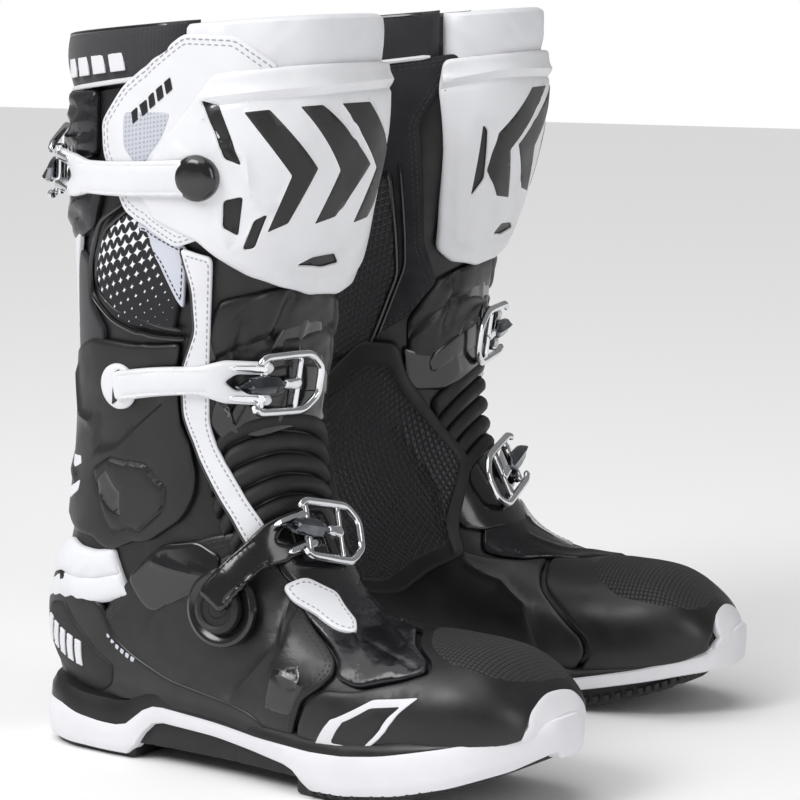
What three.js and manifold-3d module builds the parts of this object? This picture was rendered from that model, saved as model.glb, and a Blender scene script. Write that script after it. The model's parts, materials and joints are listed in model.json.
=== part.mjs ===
// Riding boots: a pair of tall off-road motorcycle boots with three buckles each.
// Millimetres, +Z up, +X towards the toes, +Y towards the wearer's left. The pair stands on z = 0 and
// the origin is the middle of its floor rectangle. Everything is drawn once, for the right boot, in a
// frame with its origin on the floor under the ankle, and the left boot is its mirror image.
import * as THREE from 'three';
import { mergeVertices } from 'three/addons/utils/BufferGeometryUtils.js';
import Module from 'manifold-3d';

const wasm = await Module();
wasm.setup();

// ---- driving dimensions ----
const FOOT_LENGTH = 320; // back of the heel to the tip of the toe, over the shell
const BOOT_HEIGHT = 406; // floor to the front edge of the collar
const BALL_WIDTH = 98; // across the shell at the ball of the foot
const STANCE = 208; // between the two boots' centre lines
const LEFT_SETBACK = 8; // the left boot stands this much behind the right one
const TOE_OUT = 7; // degrees that each boot turns outwards
const SHELL_WALL = 3.7; // the moulded shells and panels
const SHELL_INSET = 1; // outside of the shells, in from the drawn form
const LINER_WALL = 2.2; // the inner bootie
const LINER_GAP = 3.5; // between the shells and the bootie
const FOOTBED = 3.2; // thickness of the insole
const FOOTBED_CLEARANCE = 3; // under the insole, inside the bootie
const GAP = 0.4; // between pieces that meet
const OUTSOLE = 14; // height of the outsole, heel and ball
const RAND_STEP = 3; // how far the rand stands out from the foot shell
const RAND_LIFT = 3; // the rand ends this far above the floor
const TOE_SPRING = 31; // lift of the sole at the toe tip
const EDGE_RISE = 3; // lift of the sole's outer edges
const SHANK = { rear: -30, length: 110, width: 22, wall: 1.8, top: 18.4 };
const GUARD_WALL = 3; // the ankle guard and the heel counter
const SHIN_WALL = 4.6; // the shin plate
const SHIN_STANDOFF = 0.6; // between the drawn form and the back of the plates on it
const LINK_WALL = 3; // the ankle link plate
const PIVOT = { x: 36, z: 92, stud: 5.5, cap: 12.5, capHeight: 3.6, clearance: 0.3 };
const STRAP_WIDTH = 17;
const FORK_WIDTH = 25;
const STRAP_WALL = 2.6;
const LEVER = { length: 40, width: 27, bar: 4, wall: 4, neck: 11.4, barrel: 2.4 };
const LEVER_HEIGHT = 8.5; // of the lever's pivot line over the drawn form
const HOOK = { width: 8, length: 20, start: 9 };
const PAD_WALL = 1.8; // the receivers' pads
const KNOB_RADIUS = 9.4;
const DISC_RADIUS = 11.3;

// ---- the drawn form ----
// Sections from the toe tip, back along the foot, round the heel and up the shaft. Each row holds the
// rear (or bottom) point x z, the front (or top) point x z, the place of the widest line between them,
// the half width outside and inside, the squareness in front and behind, and the sideways shift.
const SECTIONS = [
  [215, 41, 214, 48, 0.5, 12, 12, 2.2, 2.2, 10],
  [205, 35, 200, 63, 0.45, 33, 31, 2.3, 2.6, 9],
  [183, 26, 177, 76, 0.42, 45, 43, 2.4, 3.0, 7],
  [148, 19, 143, 80, 0.4, 50, 47, 2.3, 3.2, 5],
  [107, 17, 107, 83, 0.4, 51, 47, 2.2, 3.2, 2],
  [68, 18, 80, 97, 0.4, 48, 45, 2.1, 3.0, 0],
  [28, 19, 62, 124, 0.42, 46, 45, 2.2, 2.8, 0],
  [-26, 21, 53, 148, 0.45, 46, 48, 2.5, 2.7, 0],
  [-86, 27, 49, 172, 0.5, 46, 51, 2.7, 2.6, 0],
  [-109, 62, 47, 200, 0.5, 47, 54, 2.8, 2.5, 0],
  [-99, 112, 49, 227, 0.5, 49, 57, 2.8, 2.1, 0],
  [-87, 167, 55, 259, 0.5, 53, 60, 2.8, 2.1, 0],
  [-85, 237, 68, 297, 0.5, 57, 63, 2.8, 2.1, 0],
  [-87, 315, 80, 347, 0.5, 60, 64, 2.8, 2.1, 0],
  [-85, 392, 83, 406, 0.5, 60, 64, 2.7, 2.1, 0],
];
const LAST = SECTIONS.length - 1;
const ROUND = 16; // facets round the boot
// The rows are drawn for these sizes, and are scaled to the driving ones.
const DRAWN = { length: 320, height: 406, width: 98 };
const sx = (x) => (x * FOOT_LENGTH) / DRAWN.length;
const sy = (y) => (y * BALL_WIDTH) / DRAWN.width;
const sz = (z) => (z * BOOT_HEIGHT) / DRAWN.height;
const ROW_SCALE = [sx, sz, sx, sz, (c) => c, sy, sy, (n) => n, (n) => n, sy];

/** Smooth value between listed rows, passing through each of them. */
function between(rows, t) {
  const i = Math.min(Math.max(Math.floor(t), 0), rows.length - 2);
  const f = Math.min(Math.max(t, 0), rows.length - 1) - i;
  const b = rows[i];
  const c = rows[i + 1];
  const a = rows[i - 1] ?? b.map((v, k) => 2 * v - c[k]);
  const d = rows[i + 2] ?? c.map((v, k) => 2 * v - b[k]);
  return b.map((v, k) => {
    const cubic = 3 * (v - c[k]) + d[k] - a[k];
    const square = 2 * a[k] - 5 * v + 4 * c[k] - d[k];
    return v + 0.5 * f * (c[k] - a[k] + f * (square + f * cubic));
  });
}

function section(t) {
  return between(SECTIONS, t).map((value, k) => ROW_SCALE[k](value));
}

/**
 * A point of the boot. t runs along the sections, phi in degrees goes round one of them: 0 in front or
 * on top, 90 outside, -90 inside, 180 behind or underneath. inset moves in from the drawn form, and
 * reach 0 is the section's middle.
 */
function skin(t, phi, inset = 0, reach = 1) {
  const [rearX, rearZ, frontX, frontZ, share, outer, inner, front, rear, shift] = section(t);
  const long = Math.hypot(frontX - rearX, frontZ - rearZ);
  const alongX = (frontX - rearX) / long;
  const alongZ = (frontZ - rearZ) / long;
  const cos = Math.cos(THREE.MathUtils.degToRad(phi));
  const sin = Math.sin(THREE.MathUtils.degToRad(phi));
  const power = 2 / (cos > 0 ? front : rear);
  const u = Math.sign(cos) * Math.abs(cos) ** power * reach;
  const v = Math.sign(sin) * Math.abs(sin) ** power * reach;
  const arm = cos > 0 ? (1 - share) * long - inset : share * long - inset;
  const middleX = rearX + share * (frontX - rearX);
  const middleZ = rearZ + share * (frontZ - rearZ);
  const half = (v > 0 ? outer : inner) - inset;
  return new THREE.Vector3(middleX + alongX * arm * u, shift - half * v, middleZ + alongZ * arm * u);
}

/** Outward direction of the drawn form. */
function outward(t, phi) {
  const step = 0.02;
  const alongT = skin(t + step, phi).sub(skin(t - step, phi));
  const alongPhi = skin(t, phi + 1).sub(skin(t, phi - 1));
  return alongT.cross(alongPhi).normalize();
}

/** A point standing off the drawn form along its outward direction. */
function above(t, phi, height) {
  return skin(t, phi).addScaledVector(outward(t, phi), height);
}

// ---- closed bodies ----
/** Keeps only the positions, joins shared points and turns the faces outwards. */
function closed(geometry) {
  const bare = new THREE.BufferGeometry();
  bare.setAttribute('position', geometry.attributes.position.clone());
  if (geometry.index) bare.setIndex(geometry.index.clone());
  const merged = mergeVertices(bare, 1e-4);
  const position = merged.attributes.position;
  const index = [];
  let volume = 0;
  const [a, b, c] = [new THREE.Vector3(), new THREE.Vector3(), new THREE.Vector3()];
  for (let k = 0; k < merged.index.count; k += 3) {
    const corner = [merged.index.getX(k), merged.index.getX(k + 1), merged.index.getX(k + 2)];
    if (new Set(corner).size < 3) continue;
    index.push(...corner);
    a.fromBufferAttribute(position, corner[0]);
    b.fromBufferAttribute(position, corner[1]);
    c.fromBufferAttribute(position, corner[2]);
    volume += a.dot(b.cross(c));
  }
  if (volume < 0) index.reverse();
  merged.setIndex(index);
  return merged;
}

function toManifold(geometry) {
  const body = closed(geometry);
  const mesh = new wasm.Mesh({
    numProp: 3,
    vertProperties: new Float32Array(body.attributes.position.array),
    triVerts: new Uint32Array(body.index.array),
  });
  return new wasm.Manifold(mesh);
}

function fromManifold(manifold) {
  const mesh = manifold.getMesh();
  const geometry = new THREE.BufferGeometry();
  geometry.setAttribute('position', new THREE.BufferAttribute(new Float32Array(mesh.vertProperties), 3));
  geometry.setIndex(new THREE.BufferAttribute(new Uint32Array(mesh.triVerts), 1));
  return geometry;
}

const cut = (geometry, ...tools) =>
  fromManifold(tools.reduce((body, tool) => body.subtract(toManifold(tool)), toManifold(geometry)));
const join = (geometry, ...others) =>
  fromManifold(others.reduce((body, other) => body.add(toManifold(other)), toManifold(geometry)));
const keep = (geometry, tool) =>
  fromManifold(toManifold(geometry).intersect(toManifold(tool)));

/**
 * A body turned round the boot instead of round a straight axis. Each profile point is t, inset and
 * reach, and the profile closes on itself or starts and ends at reach 0.
 */
function turned(profile, around) {
  const points = profile.map(([t, , reach]) => new THREE.Vector2(reach, t));
  const geometry = new THREE.LatheGeometry(points, around);
  const position = geometry.attributes.position;
  for (let i = 0; i <= around; i += 1) {
    profile.forEach(([t, inset, reach], j) => {
      const point = skin(t, (360 * (i % around)) / around, inset, reach);
      position.setXYZ(i * profile.length + j, point.x, point.y, point.z);
    });
  }
  return geometry;
}

/** Evenly spaced numbers, both ends included. */
const steps = (from, to, count) =>
  Array.from({ length: count + 1 }, (_, k) => from + ((to - from) * k) / count);

/** A sleeve open at both ends. wave(k) moves row k of its outside out. */
function sleeve(from, to, rows, inset, wall, around, wave = () => 0) {
  const line = steps(from, to, rows);
  const outside = line.map((t, k) => [t, inset - wave(k), 1]);
  const inside = line.map((t) => [t, inset + wall, 1]).reverse();
  return turned([...outside, ...inside, outside[0]], around);
}

/** A solid of the drawn form from the toe to a section, moved in by inset. */
function solidTo(to, rows, inset, around, from = 0) {
  const line = steps(from, to, rows).map((t) => [t, inset, 1]);
  return turned([[from, inset, 0], ...line, [to, inset, 0]], around);
}

/** A bag: closed at the toe and open at the section to. */
function bag(to, rows, inset, wall, around, toe, toeInside) {
  const outside = steps(toe, to, rows).map((t) => [t, inset, 1]);
  const inside = steps(to, toeInside, rows).map((t) => [t, inset + wall, 1]);
  return turned([[toe, inset, 0], ...outside, ...inside, [toeInside, inset + wall, 0]], around);
}

/** A unit box, cut into cells and bent: place(u, v, w) gives each corner's point. */
function bent(cellsU, cellsV, place) {
  const geometry = new THREE.BoxGeometry(1, 1, 1, cellsU, cellsV, 1);
  const position = geometry.attributes.position;
  for (let k = 0; k < position.count; k += 1) {
    const point = place(position.getX(k) + 0.5, position.getY(k) + 0.5, position.getZ(k) + 0.5);
    position.setXYZ(k, point.x, point.y, point.z);
  }
  return geometry;
}

/** A curved plate on the form: phi across, t from low(phi) to high(phi), w from the back to the face. */
function plate(phiFrom, phiTo, low, high, inset, wall, cellsU, cellsV) {
  return bent(cellsU, cellsV, (u, v, w) => {
    const phi = THREE.MathUtils.lerp(phiFrom, phiTo, u);
    const t = THREE.MathUtils.lerp(low(phi), high(phi), v);
    return skin(t, phi, inset - w * wall);
  });
}

/** A prism along Y over an outline of x z points, between two y. */
function sidePrism(outline, yFrom, yTo) {
  const shape = new THREE.Shape(outline.map(([x, z]) => new THREE.Vector2(x, z)));
  const geometry = new THREE.ExtrudeGeometry(shape, { depth: yTo - yFrom, bevelEnabled: false });
  geometry.rotateX(Math.PI / 2);
  geometry.translate(0, yTo, 0);
  return geometry;
}

/** A block between two corners. */
function block(low, high) {
  const size = high.map((value, k) => value - low[k]);
  const geometry = new THREE.BoxGeometry(...size);
  geometry.translate(...low.map((value, k) => value + size[k] / 2));
  return geometry;
}

/** Moves a geometry drawn in a frame's own axes to the frame's place. */
function placed(geometry, frame) {
  return geometry.applyMatrix4(frame);
}

function frameOf(origin, along, normal) {
  const across = new THREE.Vector3().crossVectors(normal, along).normalize();
  const facing = new THREE.Vector3().crossVectors(along, across).normalize();
  return new THREE.Matrix4().makeBasis(along, across, facing).setPosition(origin);
}

// ---- where the foot ends and the cuff starts, seen from the side ----
const FAR = 600;
const WIDE = 150;
const pivotX = sx(PIVOT.x);
const pivotZ = sz(PIVOT.z);
const FOOT_TOP = { front: 58, rear: 184, rise: 12 }; // edges of the foot shell, degrees about the pivot
const CUFF_BOTTOM = [[52, 222], [45, 193], [34, 134], [-30, 130], [-112, 128]]; // front to rear
const COLLAR_START = 13.6;
const UPPER_SPLIT = 246; // height of the joint between the calf shell and the upper panels
const CALF_FRONT = { outer: 22, inner: -20 }; // where the calf shell ends and the tongue starts

function ray(angle, rise) {
  const radians = THREE.MathUtils.degToRad(angle);
  return [pivotX + FAR * Math.cos(radians), pivotZ + sz(rise) + FAR * Math.sin(radians)];
}

/** What lies above the foot shell's top edge. */
function aboveFoot(lift) {
  const rise = FOOT_TOP.rise + lift;
  return sidePrism(
    [[pivotX, pivotZ + sz(rise)], ray(FOOT_TOP.front, rise), [0, 2 * FAR], ray(FOOT_TOP.rear, rise)],
    -WIDE, WIDE);
}

/** What lies above the cuff's lower edge, moved down by drop. */
function aboveCuffEdge(drop) {
  const edge = CUFF_BOTTOM.map(([x, z]) => [sx(x), sz(z) - drop]);
  const forward = sx(CUFF_BOTTOM[0][0]);
  return sidePrism([[forward + FAR, edge[0][1] + sz(40)], [forward + 60, edge[0][1] + sz(40)], ...edge,
    [-FAR, edge.at(-1)[1]], [-FAR, 2 * FAR], [FAR, 2 * FAR]], -WIDE, WIDE);
}

// ---- sole ----
// Plan of the sole: x, half width outside, half width inside.
const PLAN = [
  [-113, 15, 15], [-106, 28, 27], [-98, 37, 35], [-82, 44, 42], [-50, 46, 43], [-10, 45, 41],
  [30, 46, 42], [70, 51, 46], [110, 55, 51], [150, 53, 53], [180, 43, 50], [200, 29, 41], [212, 15, 32],
  [219, 3, 18],
];
// Top edge of the rand: x, z.
const RAND_TOP = [[-113, 28], [-84, 21], [-62, 21], [-52, 31], [90, 29], [140, 32], [180, 39], [219, 47]];
const ARCH = { rear: -34, front: 84, breast: -14, height: 8, floor: 3, top: 24 };
const TOE_CAP_END = 1.15; // section where the toe bumper ends
const SPRING_START = 104; // x where the sole starts to rise towards the toe
const SPRING_POWER = 1.8;
const OUTSOLE_TIP = 205; // x where the outsole ends and the rand closes the toe
const FOOT_END = 10; // section up to which the foot is formed, before it is cut
const FOOT_ROWS = 10;

const TIP = PLAN.at(-1)[0];
const spring = (x) => TOE_SPRING * Math.max(0, (x - SPRING_START) / (TIP - SPRING_START)) ** SPRING_POWER;

/** Value of a list of x and more, at x, straight between its rows. */
function listed(rows, x, column) {
  const k = Math.max(1, Math.min(rows.length - 1, rows.findIndex((row) => row[0] >= x)));
  const [a, b] = [rows[k - 1], rows[k]];
  const f = THREE.MathUtils.clamp((x - a[0]) / (b[0] - a[0]), 0, 1);
  return a[column] + (b[column] - a[column]) * f;
}

const ACROSS = [-1, -0.72, 0.72, 1]; // the slab's rows, as parts of its half width

/** A slab with the sole's plan, moved out by grow, between two heights that depend on x. */
function slab(grow, low, high, from = PLAN[0][0], to = PLAN.at(-1)[0]) {
  const stations = [from, ...PLAN.map((row) => row[0]).filter((x) => x > from && x < to), to];
  return bent(stations.length - 1, ACROSS.length - 1, (u, v, w) => {
    const x = stations[Math.round(u * (stations.length - 1))];
    const across = ACROSS[Math.round(v * (ACROSS.length - 1))];
    const half = (across < 0 ? listed(PLAN, x, 1) : listed(PLAN, x, 2));
    const end = x === PLAN[0][0] ? -grow : 0;
    const tip = x === TIP ? grow : 0;
    const edge = w < 0.5 && Math.abs(across) === 1 ? EDGE_RISE : 0;
    const z = edge + spring(x) + (w < 0.5 ? low(x) : high(x));
    return new THREE.Vector3(sx(x) + end + tip, across * (sy(half) + grow), z);
  });
}

function archUnder(x) {
  if (x <= ARCH.breast - 4 || x >= ARCH.front) return 0;
  const down = (ARCH.front - x) / (ARCH.front - ARCH.breast);
  return x < ARCH.breast ? 0 : ARCH.height * down;
}

function outsoleBody(grow) {
  const inset = -RAND_STEP - 1.5 + grow;
  const tread = slab(inset, () => 0 - grow, () => OUTSOLE + grow, PLAN[0][0], OUTSOLE_TIP + grow);
  const hollow = bent(6, 1, (u, v, w) => {
    const x = THREE.MathUtils.lerp(ARCH.breast - 2, ARCH.front, u);
    const top = u === 0 ? ARCH.height : archUnder(x);
    return new THREE.Vector3(sx(x), v < 0.5 ? -WIDE : WIDE, w < 0.5 ? -20 : Math.max(top - grow, -10));
  });
  const under = (x) => Math.max(archUnder(x), ARCH.floor) - grow;
  const archBlock = slab(grow, under, () => ARCH.top + grow, ARCH.rear - grow, ARCH.front + grow);
  return cut(join(cut(tread, hollow), archBlock), hollow);
}

const footSolid = (inset) => solidTo(FOOT_END, FOOT_ROWS, inset, ROUND);

function outsole() {
  const pocket = block([sx(SHANK.rear) - GAP, -SHANK.width / 2 - GAP, SHANK.top - SHANK.wall - GAP],
    [sx(SHANK.rear) + SHANK.length + GAP, SHANK.width / 2 + GAP, FAR]);
  return cut(outsoleBody(0), footSolid(SHELL_INSET - GAP), pocket);
}

function shank() {
  return block([sx(SHANK.rear), -SHANK.width / 2, SHANK.top - SHANK.wall],
    [sx(SHANK.rear) + SHANK.length, SHANK.width / 2, SHANK.top]);
}

function rand() {
  const band = slab(0, () => RAND_LIFT, (x) => sz(listed(RAND_TOP, x, 1)) - spring(x));
  const toeCap = solidTo(TOE_CAP_END, 2, -RAND_STEP, ROUND);
  const arch = block([sx(ARCH.rear) - GAP, -WIDE, -FAR], [sx(ARCH.front) + GAP, WIDE, ARCH.top + GAP]);
  return cut(join(band, toeCap), arch, outsoleBody(GAP), footSolid(SHELL_INSET - GAP));
}

// ---- foot ----
function footShell() {
  const body = bag(FOOT_END, FOOT_ROWS, SHELL_INSET, SHELL_WALL, ROUND, 0, 1.15);
  return cut(body, aboveFoot(0));
}

const LINER_INSET = SHELL_INSET + SHELL_WALL + LINER_GAP;

function bootie() {
  return bag(COLLAR_START - 0.08, 12, LINER_INSET, LINER_WALL, ROUND, 1.5, 1.75);
}

/** Footbed along the bottom of the bootie. */
function insole() {
  const floor = LINER_INSET + LINER_WALL + FOOTBED_CLEARANCE;
  return plate(144, 216, () => 2.3, () => 7.7, floor + FOOTBED, FOOTBED, 4, 7);
}

const COUNTER = { low: 8.45, high: 9.85, phi: 104 };

function heelCounter() {
  const body = plate(COUNTER.phi, 360 - COUNTER.phi, () => COUNTER.low, () => COUNTER.high,
    SHELL_INSET - 4 * GAP, GUARD_WALL, 8, 4);
  return cut(body, aboveFoot(-2));
}

// ---- ankle pivot and link ----
const LINK_FACE = sy(48) + 0.8; // inner face of the link plate, out from the centre line

/** Stud and cap on the pivot axis, standing on the foot shell. */
function anklePivot() {
  const foot = sy(43.2);
  const under = LINK_FACE + LINK_WALL + PIVOT.clearance;
  const top = under + PIVOT.capHeight;
  const profile = [[0, foot + 3], [PIVOT.stud, foot + 3], [PIVOT.stud, under], [PIVOT.cap - 1, under],
    [PIVOT.cap, under + 1], [PIVOT.cap, top - 1.6], [PIVOT.cap - 1.6, top], [0, top]];
  const geometry = new THREE.LatheGeometry(profile.map(([r, y]) => new THREE.Vector2(r, y)), 14);
  geometry.rotateX(Math.PI);
  geometry.translate(pivotX, 0, pivotZ);
  return geometry;
}

// Head of the ankle link: x, z.
const LINK_HEAD = [[-44, 174], [-8, 178], [4, 160], [2, 138], [-22, 126], [-44, 136]];

/** Flat plate with a hexagonal head beside the calf and an eye round the pivot's stud. */
function ankleLink() {
  const eye = PIVOT.cap - 1;
  const head = LINK_HEAD.map(([x, z]) => [sx(x), sz(z)]);
  const reach = new THREE.Vector2(sx(-6) - pivotX, sz(140) - pivotZ);
  const lean = reach.angle();
  const outline = new THREE.Shape();
  const arc = steps(lean + 0.5, lean + 2 * Math.PI - 0.5, 10);
  const arcPoints = arc.map((a) => [pivotX + eye * Math.cos(a), pivotZ + eye * Math.sin(a)]);
  const headPoints = [head[3], head[2], head[1], head[0], head[5], head[4]];
  [...headPoints, ...arcPoints].forEach(([x, z], k) => (k ? outline.lineTo(x, z) : outline.moveTo(x, z)));
  const hole = new THREE.Path();
  hole.absarc(pivotX, pivotZ, PIVOT.stud + PIVOT.clearance, 0, 2 * Math.PI, true);
  outline.holes.push(hole);
  const geometry = new THREE.ExtrudeGeometry(outline,
    { depth: LINK_WALL, bevelEnabled: false, curveSegments: 5 });
  geometry.rotateX(Math.PI / 2);
  geometry.translate(0, -LINK_FACE, 0);
  return geometry;
}

// ---- cuff ----
const cuffSleeve = () => sleeve(6.4, COLLAR_START - 0.02, 8, SHELL_INSET, SHELL_WALL, ROUND);
const splitHeight = sz(UPPER_SPLIT);

function calfShell() {
  const lower = keep(cuffSleeve(), block([-FAR, -WIDE, 0], [FAR, WIDE, splitHeight]));
  const front = join(block([sx(CALF_FRONT.outer), -WIDE, 0], [FAR, 0.01, FAR]),
    block([sx(CALF_FRONT.inner), 0, 0], [FAR, WIDE, FAR]));
  return cut(keep(lower, aboveCuffEdge(0)), front);
}

function tongue() {
  const lower = keep(cuffSleeve(), block([-FAR, -WIDE, 0], [FAR, WIDE, splitHeight]));
  const behind = join(block([-FAR, -WIDE, 0], [sx(CALF_FRONT.outer) + GAP, 0.01, FAR]),
    block([-FAR, 0, 0], [sx(CALF_FRONT.inner) + GAP, WIDE, FAR]));
  return cut(keep(lower, aboveCuffEdge(0)), behind);
}

function upperPanel(side) {
  const [low, high] = side < 0 ? [-WIDE, -GAP / 2] : [GAP / 2, WIDE];
  return keep(cuffSleeve(), block([-FAR, low, splitHeight + GAP], [FAR, high, 2 * FAR]));
}

/** Padded band round the top of the shaft. */
function collar() {
  const body = [
    [COLLAR_START + 0.02, SHELL_INSET - 0.5], [COLLAR_START + 0.1, SHELL_INSET - 3.5],
    [13.9, SHELL_INSET - 3.5], [14, SHELL_INSET], [14, SHELL_INSET + 4], [13.9, SHELL_INSET + 6],
    [COLLAR_START + 0.02, SHELL_INSET + 6],
  ].map(([t, inset]) => [t, inset, 1]);
  return turned([...body, body[0]], ROUND);
}

// Lower edge of the shin plate, by angle: phi, t.
const SHIN_LOW = [[-57, 11.75], [-34, 11.08], [0, 11], [30, 11.35], [60, 11.95], [70, 12.2]];
const SHIN_TOP = 13.54;
const SHIN_EDGES = { inner: -57, outer: 70 };

/** A slot along the plate's slope, cut straight through from the side it faces. */
function vent(t, phi, length, width, tilt) {
  const geometry = new THREE.BoxGeometry(length, width, 40);
  geometry.rotateZ(THREE.MathUtils.degToRad(tilt));
  const up = skin(t + 0.1, phi).sub(skin(t - 0.1, phi)).normalize();
  return placed(geometry, frameOf(skin(t, phi), up, outward(t, phi)));
}

function shinPlate() {
  const low = (phi) => listed(SHIN_LOW, phi, 1);
  const { inner, outer } = SHIN_EDGES;
  const body = plate(inner, outer, low, () => SHIN_TOP, -SHIN_STANDOFF, SHIN_WALL, 9, 4);
  return cut(body, vent(13.08, 59, 40, 6, 10), vent(12.25, 51, 20, 5, 10), vent(12.52, -35, 36, 7, 4),
    vent(11.45, -10, 5, 26, 0));
}

function lowerShinPlate() {
  return plate(-44, 34, () => 10.12, () => 10.9, -SHIN_STANDOFF, 2.6, 6, 2);
}

const GUARD_OUTLINE = [
  [-34, 202], [16, 204], [28, 176], [48, 138], [56, 100], [42, 62], [2, 66], [-36, 118],
];

/** Side outline of the ankle guard on the inner side, its corners moved out by grow. */
function guardPrism(grow) {
  const middle = new THREE.Vector2(sx(10), sz(128));
  const outline = GUARD_OUTLINE.map(([x, z]) => {
    const corner = new THREE.Vector2(sx(x), sz(z)).sub(middle);
    return corner.setLength(corner.length() + grow).add(middle).toArray();
  });
  return sidePrism(outline, 1, WIDE);
}

/** Rubber pad over the inner ankle, from the calf down to the foot. */
function medialGuard() {
  const pad = plate(-150, -16, () => 5.1, () => 11.2, -2 * SHIN_STANDOFF, GUARD_WALL, 7, 6);
  return keep(pad, guardPrism(0));
}

// ---- bellows between the foot and the cuff ----
const BELLOWS_SPLIT = 20; // x where the front bellows meets the rear one
const FRONT_RIBS = { from: 5.9, to: 9.6, count: 5, depth: 2.6 };
const REAR_RIBS = { from: 8.6, to: 10.9, count: 3, depth: 3.6 };

function bellows(ribs, xFrom, xTo) {
  const wave = (k) => (k % 2 ? ribs.depth : 0);
  const body = sleeve(ribs.from, ribs.to, 2 * ribs.count, SHELL_INSET, SHELL_WALL, ROUND, wave);
  const between = keep(cut(body, aboveCuffEdge(GAP + 0.3)), aboveFoot(GAP / sz(1) + 0.6));
  return cut(keep(between, block([xFrom, -WIDE, 0], [xTo, WIDE, FAR])), guardPrism(2 * GAP));
}

const frontBellows = () => bellows(FRONT_RIBS, sx(BELLOWS_SPLIT) + GAP / 2, FAR);
const rearBellow = () => bellows(REAR_RIBS, -FAR, sx(BELLOWS_SPLIT) - GAP / 2);

// ---- buckles ----
// Each strap's route over the form, from its anchor to the lever, and the lever's tip: t, phi and height.
const BUCKLES = {
  top: {
    anchor: [12.75, 72],
    route: [
      [12.77, 79, 7.4], [12.84, 97, 5.6], [12.9, 114, 5], [12.97, 128, 6],
      [13.03, 140, LEVER_HEIGHT - STRAP_WALL / 2],
    ],
    tip: [13.2, 176, 14],
    pad: { phi: [143, 178], t: [12.9, 13.24] },
  },
  middle: {
    anchor: [11.03, 98],
    route: [
      [11.03, 97, 5.8], [10.78, 84, 5.6], [10.45, 68, 4.8], [10.05, 48, 5.4],
      [9.66, 26, LEVER_HEIGHT - STRAP_WALL / 2],
    ],
    tip: [9.45, -18, 13],
    pad: { phi: [12, -20], t: [9.1, 9.68] },
  },
  ankle: {
    anchor: [6.6, 74],
    route: [
      [6.62, 72, 16.6], [6.58, 60, 12.8], [6.52, 46, 10], [6.42, 30, 8.6], [6.3, 14, LEVER_HEIGHT - 0.8],
    ],
    tip: [6.0, -25, 12.5],
    pad: { phi: [6, -26], t: [5.55, 6.2] },
  },
};

/** Centre line of a strap and the directions at each of its points. */
function strapLine(route) {
  const points = route.map(([t, phi, height]) => above(t, phi, height));
  const curve = new THREE.CatmullRomCurve3(points, false, 'centripetal');
  const normals = route.map(([t, phi]) => outward(t, phi));
  const normalAt = (s) => {
    const place = s * (normals.length - 1);
    const k = Math.min(Math.floor(place), normals.length - 2);
    return normals[k].clone().lerp(normals[k + 1], place - k);
  };
  return (s) => {
    const along = curve.getTangent(s);
    const across = new THREE.Vector3().crossVectors(normalAt(s), along).normalize();
    const normal = new THREE.Vector3().crossVectors(along, across).normalize();
    return { point: curve.getPoint(s), along, across, normal };
  };
}

/** The lever's frame: X towards its tip, Y across it and Z outwards, at the pivot line. */
function leverFrame({ route, tip }) {
  const { point, along, normal } = strapLine(route)(1);
  point.addScaledVector(normal, STRAP_WALL / 2).addScaledVector(along, -2);
  const towards = above(...tip).sub(point).normalize();
  return frameOf(point, towards, normal);
}

/** Strap that widens into a fork, with the lever's neck and barrel between its prongs. */
function strap(spec) {
  const line = strapLine(spec.route);
  const ribbon = bent(8, 1, (u, v, w) => {
    const { point, across, normal } = line(u);
    const flare = THREE.MathUtils.smoothstep(u, 0.55, 0.8);
    const half = THREE.MathUtils.lerp(STRAP_WIDTH, FORK_WIDTH, flare) / 2;
    const middle = point.clone().addScaledVector(across, (v - 0.5) * 2 * half);
    return middle.addScaledVector(normal, w * STRAP_WALL);
  });
  const slot = new THREE.BoxGeometry(26, LEVER.neck + 2 * GAP, 30);
  slot.translate(-26 / 2 + 8, 0, 0);
  return cut(ribbon, placed(slot, leverFrame(spec)));
}

/** Loop of round bar on a neck, with the barrel that turns between the fork's prongs. */
function lever(spec) {
  const outline = new THREE.Shape();
  const start = 4;
  const corner = 7;
  const half = LEVER.width / 2;
  const neck = LEVER.neck / 2;
  outline.moveTo(0, -neck);
  outline.lineTo(start, -neck);
  outline.lineTo(start + corner, -half);
  outline.lineTo(LEVER.length - corner, -half);
  outline.quadraticCurveTo(LEVER.length, -half, LEVER.length, -half + corner);
  outline.lineTo(LEVER.length, half - corner);
  outline.quadraticCurveTo(LEVER.length, half, LEVER.length - corner, half);
  outline.lineTo(start + corner, half);
  outline.lineTo(start, neck);
  outline.lineTo(0, neck);
  const hole = new THREE.Path();
  const low = start + LEVER.bar - 1;
  const high = LEVER.length - LEVER.bar;
  const side = half - LEVER.bar;
  hole.moveTo(low, neck - 2);
  hole.lineTo(start + corner + 1, side);
  hole.lineTo(high, side);
  hole.lineTo(high, -side);
  hole.lineTo(start + corner + 1, -side);
  hole.lineTo(low, 2 - neck);
  outline.holes.push(hole);
  const loop = new THREE.ExtrudeGeometry(outline,
    { depth: LEVER.wall, bevelEnabled: false, curveSegments: 3 });
  loop.translate(0, 0, -LEVER.wall / 2);
  const barrel = new THREE.CylinderGeometry(LEVER.barrel, LEVER.barrel, LEVER.neck, 12);
  return placed(join(loop, barrel), leverFrame(spec));
}

/** Pad on the shell under the lever, with the hook that stands in the loop. */
function receiver(spec, inset) {
  const { phi, t } = spec.pad;
  const base = plate(...phi, () => t[0], () => t[1], inset, PAD_WALL, 6, 2);
  const hook = new THREE.BoxGeometry(HOOK.length, HOOK.width, 16);
  hook.translate(HOOK.start + HOOK.length / 2, 0, 1 - 8);
  const trimmed = cut(placed(hook, leverFrame(spec)), solidTo(LAST - 0.05, 10, inset - 0.4, ROUND, 4));
  return join(base, trimmed);
}

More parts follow.
